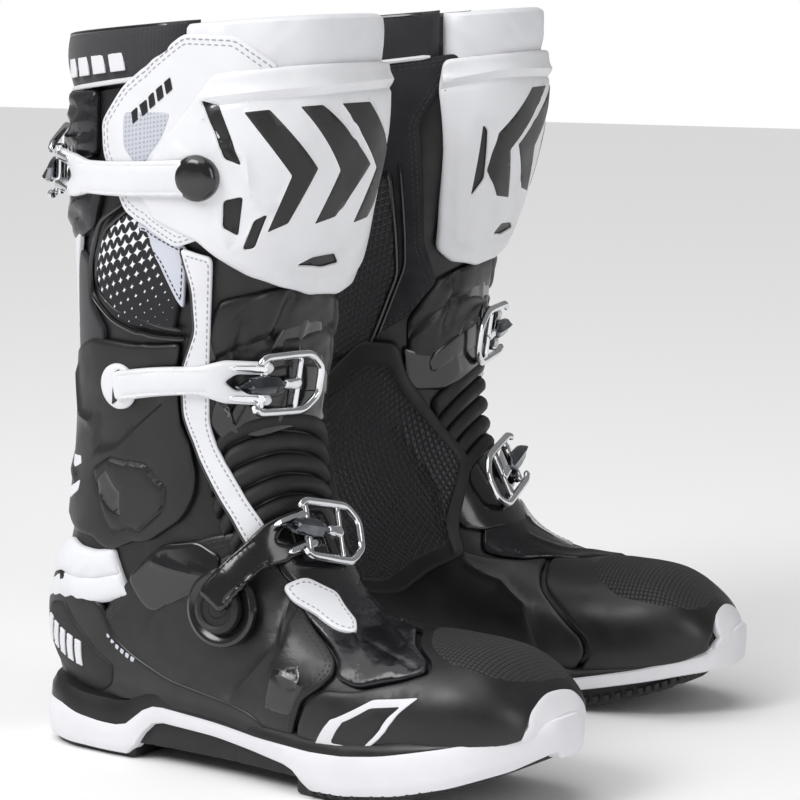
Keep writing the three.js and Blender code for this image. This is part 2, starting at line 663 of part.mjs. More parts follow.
/** Round piece standing on the form, from a profile of radius and height. */
function stud([t, phi], profile) {
  const geometry = new THREE.LatheGeometry(profile.map(([r, y]) => new THREE.Vector2(r, y)), 14);
  geometry.rotateX(Math.PI / 2);
  const up = skin(t + 0.1, phi).sub(skin(t - 0.1, phi)).normalize();
  return placed(geometry, frameOf(skin(t, phi), up, outward(t, phi)));
}

const knobBase = SHIN_STANDOFF + SHIN_WALL + 0.9;
const topAnchor = () => stud(BUCKLES.top.anchor, [[0, knobBase], [KNOB_RADIUS, knobBase],
  [KNOB_RADIUS, knobBase + 3.4], [KNOB_RADIUS - 2.4, knobBase + 5.6], [KNOB_RADIUS * 0.45, knobBase + 6],
  [KNOB_RADIUS * 0.35, knobBase + 7.2], [0, knobBase + 7.2]]);
const middleAnchor = () => stud(BUCKLES.middle.anchor, [[0, 0.2], [DISC_RADIUS, 0.2], [DISC_RADIUS, 2.6],
  [DISC_RADIUS - 1.4, 4], [0, 4]]);

// ---- assembly ----
const LOOKS = {
  black_shell: { color: 0x1b1c1f, roughness: 0.5, metalness: 0 },
  black_rubber: { color: 0x151517, roughness: 0.75, metalness: 0 },
  black_fabric: { color: 0x202124, roughness: 0.85, metalness: 0 },
  white_shell: { color: 0xe9eaee, roughness: 0.4, metalness: 0 },
  white_leather: { color: 0xe6e7ec, roughness: 0.6, metalness: 0 },
  chrome: { color: 0xc8cacd, roughness: 0.15, metalness: 1 },
  steel: { color: 0x8d9094, roughness: 0.4, metalness: 1 },
  foam: { color: 0x3a3c40, roughness: 0.9, metalness: 0 },
};

/** Line that a strap or lever turns about, in the boot's own frame. */
function hingeAt(frame) {
  const point = new THREE.Vector3().setFromMatrixPosition(frame);
  const axis = new THREE.Vector3().setFromMatrixColumn(frame, 1).negate();
  return { point, axis };
}

function strapHinge(route) {
  const { point, along, normal } = strapLine(route)(0);
  return hingeAt(frameOf(point, along, normal));
}

function buckleNodes(name, spec, strapLook) {
  return [
    [`${name}_strap`, strap(spec), strapLook, strapHinge(spec.route)],
    [`${name}_lever`, lever(spec), 'chrome', hingeAt(leverFrame(spec))],
    [`${name}_receiver`, receiver(spec, -2 * SHIN_STANDOFF), 'black_shell'],
  ];
}

const ankleHinge = { point: new THREE.Vector3(pivotX, 0, pivotZ), axis: new THREE.Vector3(0, 1, 0) };

const NODES = [
  ['outsole', outsole(), 'black_rubber'],
  ['rand', rand(), 'white_shell'],
  ['shank', shank(), 'steel'],
  ['insole', insole(), 'foam'],
  ['foot_shell', footShell(), 'black_shell'],
  ['heel_counter', heelCounter(), 'black_shell'],
  ['ankle_pivot', anklePivot(), 'black_shell'],
  ['bootie', bootie(), 'black_fabric'],
  ['calf_shell', calfShell(), 'black_shell', ankleHinge],
  ['tongue', tongue(), 'black_fabric'],
  ['lateral_panel', upperPanel(-1), 'white_leather'],
  ['medial_panel', upperPanel(1), 'black_fabric'],
  ['collar', collar(), 'black_fabric'],
  ['shin_plate', shinPlate(), 'white_shell'],
  ['lower_shin_plate', lowerShinPlate(), 'black_shell'],
  ['medial_guard', medialGuard(), 'black_rubber'],
  ['ankle_link', ankleLink(), 'black_shell'],
  ['front_bellows', frontBellows(), 'black_rubber'],
  ['rear_bellow', rearBellow(), 'white_leather'],
  ['top_anchor', topAnchor(), 'black_shell'],
  ['middle_anchor', middleAnchor(), 'white_shell'],
  ...buckleNodes('top', BUCKLES.top, 'white_shell'),
  ...buckleNodes('middle', BUCKLES.middle, 'white_shell'),
  ...buckleNodes('ankle', BUCKLES.ankle, 'black_shell'),
].map(([name, geometry, look, hinge]) => ({ name, geometry: closed(geometry), look, hinge }));

function boot(side) {
  const group = new THREE.Group();
  for (const { name, geometry, look, hinge } of NODES) {
    const mesh = new THREE.Mesh(geometry, new THREE.MeshStandardMaterial(LOOKS[look]));
    mesh.name = `${side}_${name}`;
    if (hinge) mesh.userData.hinge = hinge;
    group.add(mesh);
  }
  return group;
}

const rightBoot = boot('right');
rightBoot.position.set(0, -STANCE / 2, 0);
rightBoot.rotation.z = THREE.MathUtils.degToRad(-TOE_OUT);

const leftBoot = boot('left');
leftBoot.scale.y = -1;
leftBoot.position.set(-LEFT_SETBACK, STANCE / 2, 0);
leftBoot.rotation.z = THREE.MathUtils.degToRad(TOE_OUT);

const pair = new THREE.Group();
pair.add(rightBoot, leftBoot);
pair.updateMatrixWorld(true);
const bounds = new THREE.Box3().setFromObject(pair, true);
pair.position.set(-(bounds.min.x + bounds.max.x) / 2, -(bounds.min.y + bounds.max.y) / 2, 0);

export default pair;
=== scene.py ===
"""Riding boots: the detailed pieces of a pair of off-road motorcycle boots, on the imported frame.

Every piece is drawn once for the right boot, in millimetres: x towards the toes, y towards the inside of
the foot, z up, with the floor at z = 0. The left boot's pieces are their mirror images. A place on a
boot is (t, phi): t counts the sections from the toe tip, round the heel and up the shaft, and phi in
degrees goes round a section: 0 in front or on top, 90 outside, -90 inside, 180 behind or underneath.
"""
import json
import math

import bpy
import numpy as np
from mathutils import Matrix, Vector
from mathutils.geometry import delaunay_2d_cdt


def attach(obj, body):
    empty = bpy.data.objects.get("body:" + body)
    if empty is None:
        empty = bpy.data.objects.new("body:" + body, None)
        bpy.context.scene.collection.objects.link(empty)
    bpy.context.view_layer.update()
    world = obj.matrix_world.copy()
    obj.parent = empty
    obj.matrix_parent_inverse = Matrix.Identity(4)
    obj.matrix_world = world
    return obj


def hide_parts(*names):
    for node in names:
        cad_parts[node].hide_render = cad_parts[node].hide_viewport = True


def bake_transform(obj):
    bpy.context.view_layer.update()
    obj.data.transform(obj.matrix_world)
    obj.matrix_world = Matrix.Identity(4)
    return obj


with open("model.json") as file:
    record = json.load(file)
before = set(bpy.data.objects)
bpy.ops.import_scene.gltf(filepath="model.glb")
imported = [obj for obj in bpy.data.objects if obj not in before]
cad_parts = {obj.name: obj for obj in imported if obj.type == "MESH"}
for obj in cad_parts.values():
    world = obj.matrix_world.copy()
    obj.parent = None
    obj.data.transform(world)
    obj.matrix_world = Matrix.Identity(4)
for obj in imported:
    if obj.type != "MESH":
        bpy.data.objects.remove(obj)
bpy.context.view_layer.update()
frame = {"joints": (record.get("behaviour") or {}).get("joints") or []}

MM = 0.001
SIDES = ("right", "left")

# ---- the drawn form ----
# rear (or bottom) x z, front (or top) x z, place of the widest line, half widths outside and inside,
# squareness in front and behind, sideways shift
SECTIONS = np.array([
    [215, 41, 214, 48, 0.5, 12, 12, 2.2, 2.2, 10],
    [205, 35, 200, 63, 0.45, 33, 31, 2.3, 2.6, 9],
    [183, 26, 177, 76, 0.42, 45, 43, 2.4, 3.0, 7],
    [148, 19, 143, 80, 0.4, 50, 47, 2.3, 3.2, 5],
    [107, 17, 107, 83, 0.4, 51, 47, 2.2, 3.2, 2],
    [68, 18, 80, 97, 0.4, 48, 45, 2.1, 3.0, 0],
    [28, 19, 62, 124, 0.42, 46, 45, 2.2, 2.8, 0],
    [-26, 21, 53, 148, 0.45, 46, 48, 2.5, 2.7, 0],
    [-86, 27, 49, 172, 0.5, 46, 51, 2.7, 2.6, 0],
    [-109, 62, 47, 200, 0.5, 47, 54, 2.8, 2.5, 0],
    [-99, 112, 49, 227, 0.5, 49, 57, 2.8, 2.1, 0],
    [-87, 167, 55, 259, 0.5, 53, 60, 2.8, 2.1, 0],
    [-85, 237, 68, 297, 0.5, 57, 63, 2.8, 2.1, 0],
    [-87, 315, 80, 347, 0.5, 60, 64, 2.8, 2.1, 0],
    [-85, 392, 83, 406, 0.5, 60, 64, 2.7, 2.1, 0],
])
LAST = len(SECTIONS) - 1
PIVOT = (36, 92)  # x and z of the ankle hinge
FOOT_TURN = {"right": -7, "left": 7}  # degrees


def catmull(rows, t):
    """Smooth rows at places t, passing through each listed row."""
    t = np.clip(np.asarray(t, float), 0, len(rows) - 1)
    i = np.minimum(t.astype(int), len(rows) - 2)
    f = (t - i)[..., None]
    padded = np.vstack([2 * rows[0] - rows[1], rows, 2 * rows[-1] - rows[-2]])
    a, b, c, d = padded[i], padded[i + 1], padded[i + 2], padded[i + 3]
    return b + 0.5 * f * (c - a + f * (2 * a - 5 * b + 4 * c - d + f * (3 * (b - c) + d - a)))


def skin(t, phi, inset=0.0):
    """Points of the drawn form, moved in by inset."""
    t, phi = np.broadcast_arrays(np.asarray(t, float), np.asarray(phi, float))
    rear_x, rear_z, front_x, front_z, share, outer, inner, front, rear, shift = np.moveaxis(
        catmull(SECTIONS, t), -1, 0)
    long = np.hypot(front_x - rear_x, front_z - rear_z)
    cos, sin = np.cos(np.radians(phi)), np.sin(np.radians(phi))
    power = 2 / np.where(cos > 0, front, rear)
    u = np.sign(cos) * np.abs(cos) ** power
    v = np.sign(sin) * np.abs(sin) ** power
    arm = np.where(cos > 0, (1 - share) * long, share * long) - inset
    half = np.where(v > 0, outer, inner) - inset
    x = rear_x + share * (front_x - rear_x) + (front_x - rear_x) / long * arm * u
    z = rear_z + share * (front_z - rear_z) + (front_z - rear_z) / long * arm * u
    return np.stack([x, shift - half * v, z], -1)


def unit(vectors):
    return vectors / np.maximum(np.linalg.norm(vectors, axis=-1, keepdims=True), 1e-9)


def lengths(line):
    """Distance along a line at each of its points."""
    return np.concatenate([[0], np.cumsum(np.linalg.norm(np.diff(line, axis=0), axis=1))])


def outward(t, phi):
    t = np.clip(np.asarray(t, float), 0.03, LAST - 0.03)
    return unit(np.cross(skin(t + 0.02, phi) - skin(t - 0.02, phi),
                         skin(t, phi + 1.5) - skin(t, phi - 1.5)))


def above(t, phi, height):
    return skin(t, phi) + outward(t, phi) * np.asarray(height, float)[..., None]


# ---- surfaces that flat outlines are laid on ----
class Form:
    """The boot's own surface, flattened round a panel: u and v are millimetres round it and along it."""

    def __init__(self, outline):
        t, phi = np.array(outline, float).T
        self.phi = np.arange(-260, 461, 2.0)
        round_it = skin(np.full_like(self.phi, t.mean()), self.phi)
        self.u = lengths(round_it)
        self.t = np.linspace(0, LAST, 400)
        along = skin(self.t, np.full_like(self.t, phi.mean()))
        self.v = lengths(along)

    def flat(self, places):
        t, phi = np.array(places, float).reshape(-1, 2).T
        return np.stack([np.interp(phi, self.phi, self.u), np.interp(t, self.t, self.v)], 1)

    def place(self, uv, height):
        phi = np.interp(uv[:, 0], self.u, self.phi)
        t = np.interp(uv[:, 1], self.v, self.t)
        return above(t, phi, height)


class Ribbon:
    """A strap: x millimetres along its line and y across it."""

    def __init__(self, route):
        route = np.array(route, float)
        s = np.linspace(0, len(route) - 1, 160)
        self.line = catmull(above(route[:, 0], route[:, 1], route[:, 2]), s)
        self.x = lengths(self.line)
        self.length = self.x[-1]
        along = unit(np.gradient(self.line, axis=0))
        places = catmull(route[:, :2], s)
        self.across = unit(np.cross(outward(places[:, 0], places[:, 1]), along))
        self.normal = unit(np.cross(along, self.across))
        self.along = along

    def flat(self, places):
        return np.array(places, float).reshape(-1, 2)

    def at(self, x, field):
        return np.stack([np.interp(x, self.x, field[:, k]) for k in range(3)], -1)

    def place(self, uv, height):
        x = uv[:, 0]
        beyond = (np.maximum(x - self.length, 0) + np.minimum(x, 0))[:, None]
        return (self.at(x, self.line) + self.at(x, self.along) * beyond + self.at(x, self.across) * uv[:,
                                                                                                       1:2]
                + self.at(x, self.normal) * np.asarray(height, float).reshape(-1, 1))


BEND_LENGTH = 40.0


class Plane:
    """A flat frame: origin, x and y directions. It curves down by bend at BEND_LENGTH from the origin."""

    def __init__(self, origin, x, y, bend=0.0):
        self.origin = np.array(origin, float)
        self.x = unit(np.array(x, float))
        self.normal = unit(np.cross(self.x, np.array(y, float)))
        self.y = np.cross(self.normal, self.x)
        self.bend = bend

    def flat(self, places):
        return np.array(places, float).reshape(-1, 2)

    def place(self, uv, height):
        height = np.asarray(height, float).reshape(-1, 1) - self.bend * (uv[:, :1] / BEND_LENGTH) ** 2
        return self.origin + uv[:, :1] * self.x + uv[:, 1:2] * self.y + height * self.normal


# ---- flat outlines ----
def rounded(corners, radius, closed=True):
    """The outline with its corners turned into short arcs."""
    corners = np.asarray(corners, float)
    count = len(corners)
    out = []
    for k in range(count):
        if not closed and k in (0, count - 1):
            out.append(corners[k])
            continue
        a, b, c = corners[k - 1], corners[k], corners[(k + 1) % count]
        before, after = np.linalg.norm(a - b), np.linalg.norm(c - b)
        reach = min(radius, 0.45 * before, 0.45 * after)
        start, end = b + (a - b) / before * reach, b + (c - b) / after * reach
        for f in (0, 0.25, 0.5, 0.75, 1):
            out.append((1 - f) ** 2 * start + 2 * f * (1 - f) * b + f * f * end)
    return np.array(out)


def resampled(line, step, closed=True):
    """The line with points about step apart, keeping its own."""
    line = np.asarray(line, float)
    ends = np.vstack([line, line[:1]]) if closed else line
    out = []
    for a, b in zip(ends[:-1], ends[1:]):
        count = max(1, int(np.linalg.norm(b - a) / step))
        out.extend(a + (b - a) * k / count for k in range(count))
    if not closed:
        out.append(ends[-1])
    out = np.array(out)
    keep = [0]
    for k in range(1, len(out)):
        if np.linalg.norm(out[k] - out[keep[-1]]) > 0.18:
            keep.append(k)
    if closed and len(keep) > 3 and np.linalg.norm(out[keep[-1]] - out[0]) < 0.18:
        keep.pop()
    return out[keep]


def distance(points, line, closed=True):
    """Distance of each point to a line of straight pieces."""
    ends = np.vstack([line, line[:1]]) if closed else np.asarray(line)
    a, b = ends[:-1], ends[1:]
    best = np.full(len(points), 1e9)
    for start, end in zip(a, b):
        d = end - start
        f = np.clip(((points - start) @ d) / max(d @ d, 1e-12), 0, 1)
        best = np.minimum(best, np.linalg.norm(points - start - f[:, None] * d, axis=1))
    return best


def inside(points, ring):
    x, y = points.T
    result = np.zeros(len(points), bool)
    for (ax, ay), (bx, by) in zip(ring, np.roll(ring, -1, axis=0)):
        crosses = (ay > y) != (by > y)
        result ^= crosses & (x < (bx - ax) * (y - ay) / np.where(by == ay, 1e-12, by - ay) + ax)
    return result


def inward(ring):
    """Directions into a ring at each of its points."""
    tangent = np.roll(ring, -1, axis=0) - np.roll(ring, 1, axis=0)
    normal = unit(np.stack([-tangent[:, 1], tangent[:, 0]], 1))
    turn = np.sum(ring[:, 0] * np.roll(ring[:, 1], -1) - np.roll(ring[:, 0], -1) * ring[:, 1])
    return normal if turn > 0 else -normal


def smooth(value):
    value = np.clip(value, 0, 1)
    return value * value * (3 - 2 * value)


def circle(centre, radius, count):
    angle = np.linspace(0, 2 * math.pi, count, endpoint=False)
    return centre + radius * np.stack([np.cos(angle), np.sin(angle)], 1)


def groove(points, depth=0.8, width=1.2, closed=False, radius=3):
    """A line pressed in, or raised where depth is negative."""
    return dict(kind="line", points=points, height=-depth, width=width, closed=closed, radius=radius)


def area(points, height=0.0, width=1.5, paint=0, radius=2):
    """A raised or sunk area, which may take the piece's second or third material."""
    return dict(kind="area", points=points, height=height, width=width, paint=paint, radius=radius)


PLATE_STEP = 3.0  # spacing of the points along a plate's edge
CLOSEST = 0.22  # points of a plate's mesh are at least about this far apart


class Draft:
    """A mesh being made: points in millimetres with a flat place each, and faces with a material each."""

    def __init__(self):
        self.points, self.faces, self.flats, self.paints = [], [], [], []

    def add(self, points, faces, flats=None, paints=None):
        start = sum(len(p) for p in self.points)
        points = np.asarray(points, float).reshape(-1, 3)
        self.points.append(points)
        self.flats.append(np.zeros((len(points), 2)) if flats is None else np.asarray(flats, float))
        self.faces.extend([tuple(start + k for k in face) for face in faces])
        self.paints.extend(paints or [0] * len(faces))
        return self

    def join(self, other):
        return self.add(np.vstack(other.points), other.faces, np.vstack(other.flats), other.paints)


def feature_lines(surface, features):
    """Each feature with its flat line, and whether the line is closed."""
    lines = []
    for item in features:
        closed = item["kind"] == "area" or item["closed"]
        line = rounded(surface.flat(item["points"]), item["radius"], closed)
        lines.append((item, resampled(line, 2.5, closed), closed))
    return lines


def free_points(ring, lines, edge, spacing):
    """Points inside a plate: rows beside its edge and its features, and a grid between them."""
    near = [ring + inward(ring) * depth for depth in (0.12 * edge, 0.45 * edge, edge, edge + 1.6)]
    for item, line, closed in lines:
        tangent = np.roll(line, -1, 0) - np.roll(line, 1, 0) if closed else np.gradient(line, axis=0)
        normal = unit(np.stack([-tangent[:, 1], tangent[:, 0]], 1))
        if item["kind"] == "line":
            offsets = (-1.6, -0.8, 0, 0.8, 1.6)
        else:
            offsets = (-0.5, 0, 0.5) if item["paint"] else (-0.5, 0.5)
        near += [line + normal * offset * item["width"] for offset in offsets]
    low, high = ring.min(axis=0), ring.max(axis=0)
    xs, ys = np.arange(low[0], high[0], spacing), np.arange(low[1], high[1], spacing * 0.87)
    grid_x, grid_y = np.meshgrid(xs, ys)
    grid_x = grid_x + (np.arange(len(ys)) % 2)[:, None] * spacing / 2
    grid = np.stack([grid_x.ravel(), grid_y.ravel()], 1)
    chosen = []
    for points, limit in ((np.vstack(near), 0.08 * edge), (grid, edge + 2.2)):
        chosen.append(points[inside(points, ring) & (distance(points, ring) > limit)])
    for item, line, closed in lines:
        chosen[1] = chosen[1][distance(chosen[1], line, closed) > item["width"] * 1.2]
    free = np.vstack(chosen)
    _, first = np.unique(np.round(free / CLOSEST).astype(int), axis=0, return_index=True)
    return free[np.sort(first)]


def plate_mesh(ring, lines, free):
    """Corners, triangles and their centres over a plate. Painted areas keep their outlines."""
    parts, loops = [ring, free], [(0, len(ring))]
    for item, line, _ in lines:
        if item["kind"] == "area" and item["paint"]:
            if (inside(line, ring) & (distance(line, ring) > 0.3)).all():
                loops.append((sum(len(part) for part in parts), len(line)))
                parts.append(line)
    edges = [(start + k, start + (k + 1) % count) for start, count in loops for k in range(count)]
    verts, _, triangles, _, _, _ = delaunay_2d_cdt(
        [Vector(p) for p in np.vstack(parts)], edges, [], 0, 1e-4)
    verts = np.array([tuple(v) for v in verts])
    centre = np.array([verts[list(f)].mean(axis=0) for f in triangles])
    ok = inside(centre, ring)
    return verts, [tuple(f) for f, good in zip(triangles, ok) if good], centre[ok]


def relief(surface, outline, base=0.0, wall=2.0, edge=1.0, radius=3.0, crown=0.0, reach=10.0,
           features=(), spacing=4.0, raw=False, wave=None):
    """A closed plate over an outline, with a rounded edge, a crown and raised or sunk features.

    The plate stands wall above base. The crown is reached about reach in from the edge. A raw outline
    is already flat.
    """
    ring = np.asarray(outline, float) if raw else surface.flat(outline)
    ring = resampled(rounded(ring, radius), PLATE_STEP)
    edge = min(edge, wall - 0.05)
    lines = feature_lines(surface, features)
    verts, triangles, centre = plate_mesh(ring, lines, free_points(ring, lines, edge, spacing))
    depth = distance(verts, ring)
    near = edge - np.minimum(depth, edge)
    height = base + wall - edge + np.sqrt(np.maximum(edge ** 2 - near ** 2, 0))
    height += crown * (1 - np.exp(-depth / reach)) * np.minimum(depth / edge, 1)
    paints = np.zeros(len(triangles), int)
    for item, line, closed in lines:
        far = distance(verts, line, closed)
        if item["kind"] == "line":
            height += item["height"] * np.exp(-(far / item["width"]) ** 2) * smooth(depth / 2)
        else:
            signed = np.where(inside(verts, line), far, -far)
            height += item["height"] * smooth(signed / item["width"] + 0.5) * smooth(depth / 1.5)
            if item["paint"]:
                paints[inside(centre, line)] = item["paint"]
    if wave is not None:
        height += wave(verts) * smooth(depth / 4)
    sides = dict.fromkeys(pair for f in triangles for pair in zip(f, f[1:] + f[:1]))
    borders = [(a, b) for a, b in sides if (b, a) not in sides]
    used = sorted({k for f in triangles for k in f})
    index = {k: n for n, k in enumerate(used)}
    uv, count = verts[used], len(used)
    points = np.vstack([surface.place(uv, height[used]), surface.place(uv, np.full(count, base))])
    top = [tuple(index[k] for k in f) for f in triangles]
    back = [tuple(count + k for k in reversed(f)) for f in top]
    walls = [(index[b], index[a], count + index[a], count + index[b]) for a, b in borders]
    flats = np.tile(uv - ring.min(axis=0), (2, 1))
    return Draft().add(points, top + back + walls, flats, paints.tolist() + [0] * len(back + walls))


def tube_faces(rows, count, closed=True, flip=False):
    """Quads between rows of points, each row a ring. Open ends get a flat cap each."""
    faces = []
    for i in range(rows if closed else rows - 1):
        j = (i + 1) % rows
        for k in range(count):
            m = (k + 1) % count
            a, b, c, d = i * count + k, j * count + k, j * count + m, i * count + m
            faces.append((a, d, c, b) if flip else (a, b, c, d))
    if not closed:
        first, last = tuple(range(count)), tuple(range((rows - 1) * count, rows * count))
        faces += [first[::-1], last] if flip else [first, last[::-1]]
    return faces


def tube(line, radius, sides, normals, flat=1.0, draft=None, taper=True):
    """A round bar along a line of points; flat under 1 makes it lower than it is wide."""
    line = np.asarray(line, float)
    along = unit(np.gradient(line, axis=0))
    across = unit(np.cross(normals, along))
    up = unit(np.cross(along, across))
    radii = np.full(len(line), float(radius)) if np.isscalar(radius) else np.array(radius, float)
    if taper:
        radii[[0, -1]] *= 0.5
    angle = np.linspace(0, 2 * math.pi, sides, endpoint=False)
    ring = np.cos(angle)[None, :, None] * across[:, None] + flat * np.sin(angle)[None, :, None] * up[:,
                                                                                                     None]
    points = line[:, None] + ring * radii[:, None, None]
    flats = np.stack([np.repeat(lengths(line), sides), np.tile(angle * radii.mean(), len(line))], 1)
    draft = draft or Draft()
    return draft.add(points, tube_faces(len(line), sides, closed=False, flip=True), flats)


def bead(places, height, radius, corner=5, draft=None):
    """Piping on the form, through places of t and phi."""
    surface = Form(places)
    line = resampled(rounded(surface.flat(places), corner, False), 3.0, False)
    points = surface.place(line, np.full(len(line), height))
    normals = surface.place(line, np.full(len(line), height + 1)) - points
    return tube(points, radius, 8, normals, draft=draft)


# pitch along the seam, half a stitch's length, thread radius, and the distance between two rows
STITCH = {"pitch": 3.7, "half": 1.25, "radius": 0.42, "rows": 2.6}


def flat_stitches(surface, line, height, draft, closed=True):
    """Stitches along a line that is already flat."""
    ends = np.vstack([line, line[:1]]) if closed else line
    reach = lengths(ends)
    for middle in np.arange(STITCH["pitch"] / 2, reach[-1], STITCH["pitch"]):
        x = middle + STITCH["half"] * np.array([-1, -0.6, 0.6, 1])
        flat = np.stack([np.interp(x, reach, ends[:, 0]), np.interp(x, reach, ends[:, 1])], 1)
        points = surface.place(flat, np.full(4, height))
        normals = surface.place(flat, np.full(4, height + 1)) - points
        radii = STITCH["radius"] * np.array([0.35, 1, 1, 0.35])
        tube(points, radii, 6, normals, 0.8, draft, taper=False)
    return draft


def stitches(surface, places, height, draft, shift=0.0):
    """Stitches through places of t and phi, shift millimetres to one side of the line."""
    line = resampled(rounded(surface.flat(places), 5, False), 0.9, False)
    tangent = unit(np.gradient(line, axis=0))
    line = line + np.stack([-tangent[:, 1], tangent[:, 0]], 1) * shift
    return flat_stitches(surface, line, height, draft, closed=False)


def lathe(surface, centre, profile, around=40):
    """A round piece on a surface: profile rows are radius and height, from the axis to the axis."""
    angle = np.linspace(0, 2 * math.pi, around, endpoint=False)
    centre = surface.flat([centre])[0]
    origin = surface.place(centre[None], np.zeros(1))[0]
    up = unit(surface.place(centre[None], np.ones(1))[0] - origin)
    side = unit(np.cross(up, [0.2, 0.1, 1.0]))
    spokes = np.cos(angle)[:, None] * side + np.sin(angle)[:, None] * np.cross(up, side)
    rings = [origin + up * height + radius * spokes for radius, height in profile]
    return Draft().add(np.vstack(rings), tube_faces(len(profile), around, closed=False, flip=True))


def shell(rows, around, outer, inner):
    """A thick skin over rows of t, closed at the toe, between two insets of the form."""
    phi = np.linspace(0, 360, around, endpoint=False)
    points, flats = [], []
    for inset, order in ((outer, rows), (inner, rows[::-1])):
        for t in order:
            points.append(skin(np.full(around, t), phi, inset))
            flats.append(np.stack([phi * 1.1, np.full(around, t * 27.0)], 1))
    return Draft().add(np.vstack(points), tube_faces(len(points), around, closed=False),
                       np.vstack(flats))


# ---- placing pieces on both boots ----
def boot_place(side):
    """Where a boot's own origin is in the row frame, and its turn, from its ankle hinge."""
    joint = next(j for j in frame["joints"] if j["name"] == f"{side}_ankle_flex")
    turn = math.radians(FOOT_TURN[side])
    x = joint["pos_m"][0] - PIVOT[0] * MM * math.cos(turn)
    y = joint["pos_m"][1] - PIVOT[0] * MM * math.sin(turn)
    return x, y, turn


PLACES = {side: boot_place(side) for side in SIDES}


def to_row(points, side):
    """Points of the right boot's drawing, in metres in the row frame, for either boot."""
    points = np.asarray(points, float) * MM
    x0, y0, turn = PLACES[side]
    x, y, z = points[..., 0], points[..., 1] * (1 if side == "right" else -1), points[..., 2]
    cos, sin = math.cos(turn), math.sin(turn)
    return np.stack([x0 + x * cos - y * sin, y0 + x * sin + y * cos, z], -1)


def publish(name, draft, looks, body, replaces=(), bend=False, sharp=38):
    """Makes the piece on both boots and fixes it to its body; with bend it is left unfixed, where it
    stands.
    """
    points = np.vstack(draft.points)
    flats = np.vstack(draft.flats)
    for side in SIDES:
        faces = draft.faces if side == "right" else [tuple(reversed(f)) for f in draft.faces]
        mesh = bpy.data.meshes.new(f"{side}_{name}")
        mesh.from_pydata(to_row(points, side).tolist(), [], faces)
        layer = mesh.uv_layers.new(name="flat")
        index = np.zeros(len(mesh.loops), int)
        mesh.loops.foreach_get("vertex_index", index)
        layer.data.foreach_set("uv", (flats[index] / 100).ravel())
        mesh.polygons.foreach_set("material_index", draft.paints)
        for look in looks:
            mesh.materials.append(look)
        mesh.shade_smooth()
        mesh.set_sharp_from_angle(angle=math.radians(sharp))
        mesh.validate()
        piece = bpy.data.objects.new(f"{side}_{name}", mesh)
        bpy.context.scene.collection.objects.link(piece)
        if replaces:
            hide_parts(*[f"{side}_{node}" for node in replaces])
        if bend:
            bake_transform(piece)
        else:
            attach(piece, f"{side}_{body}")


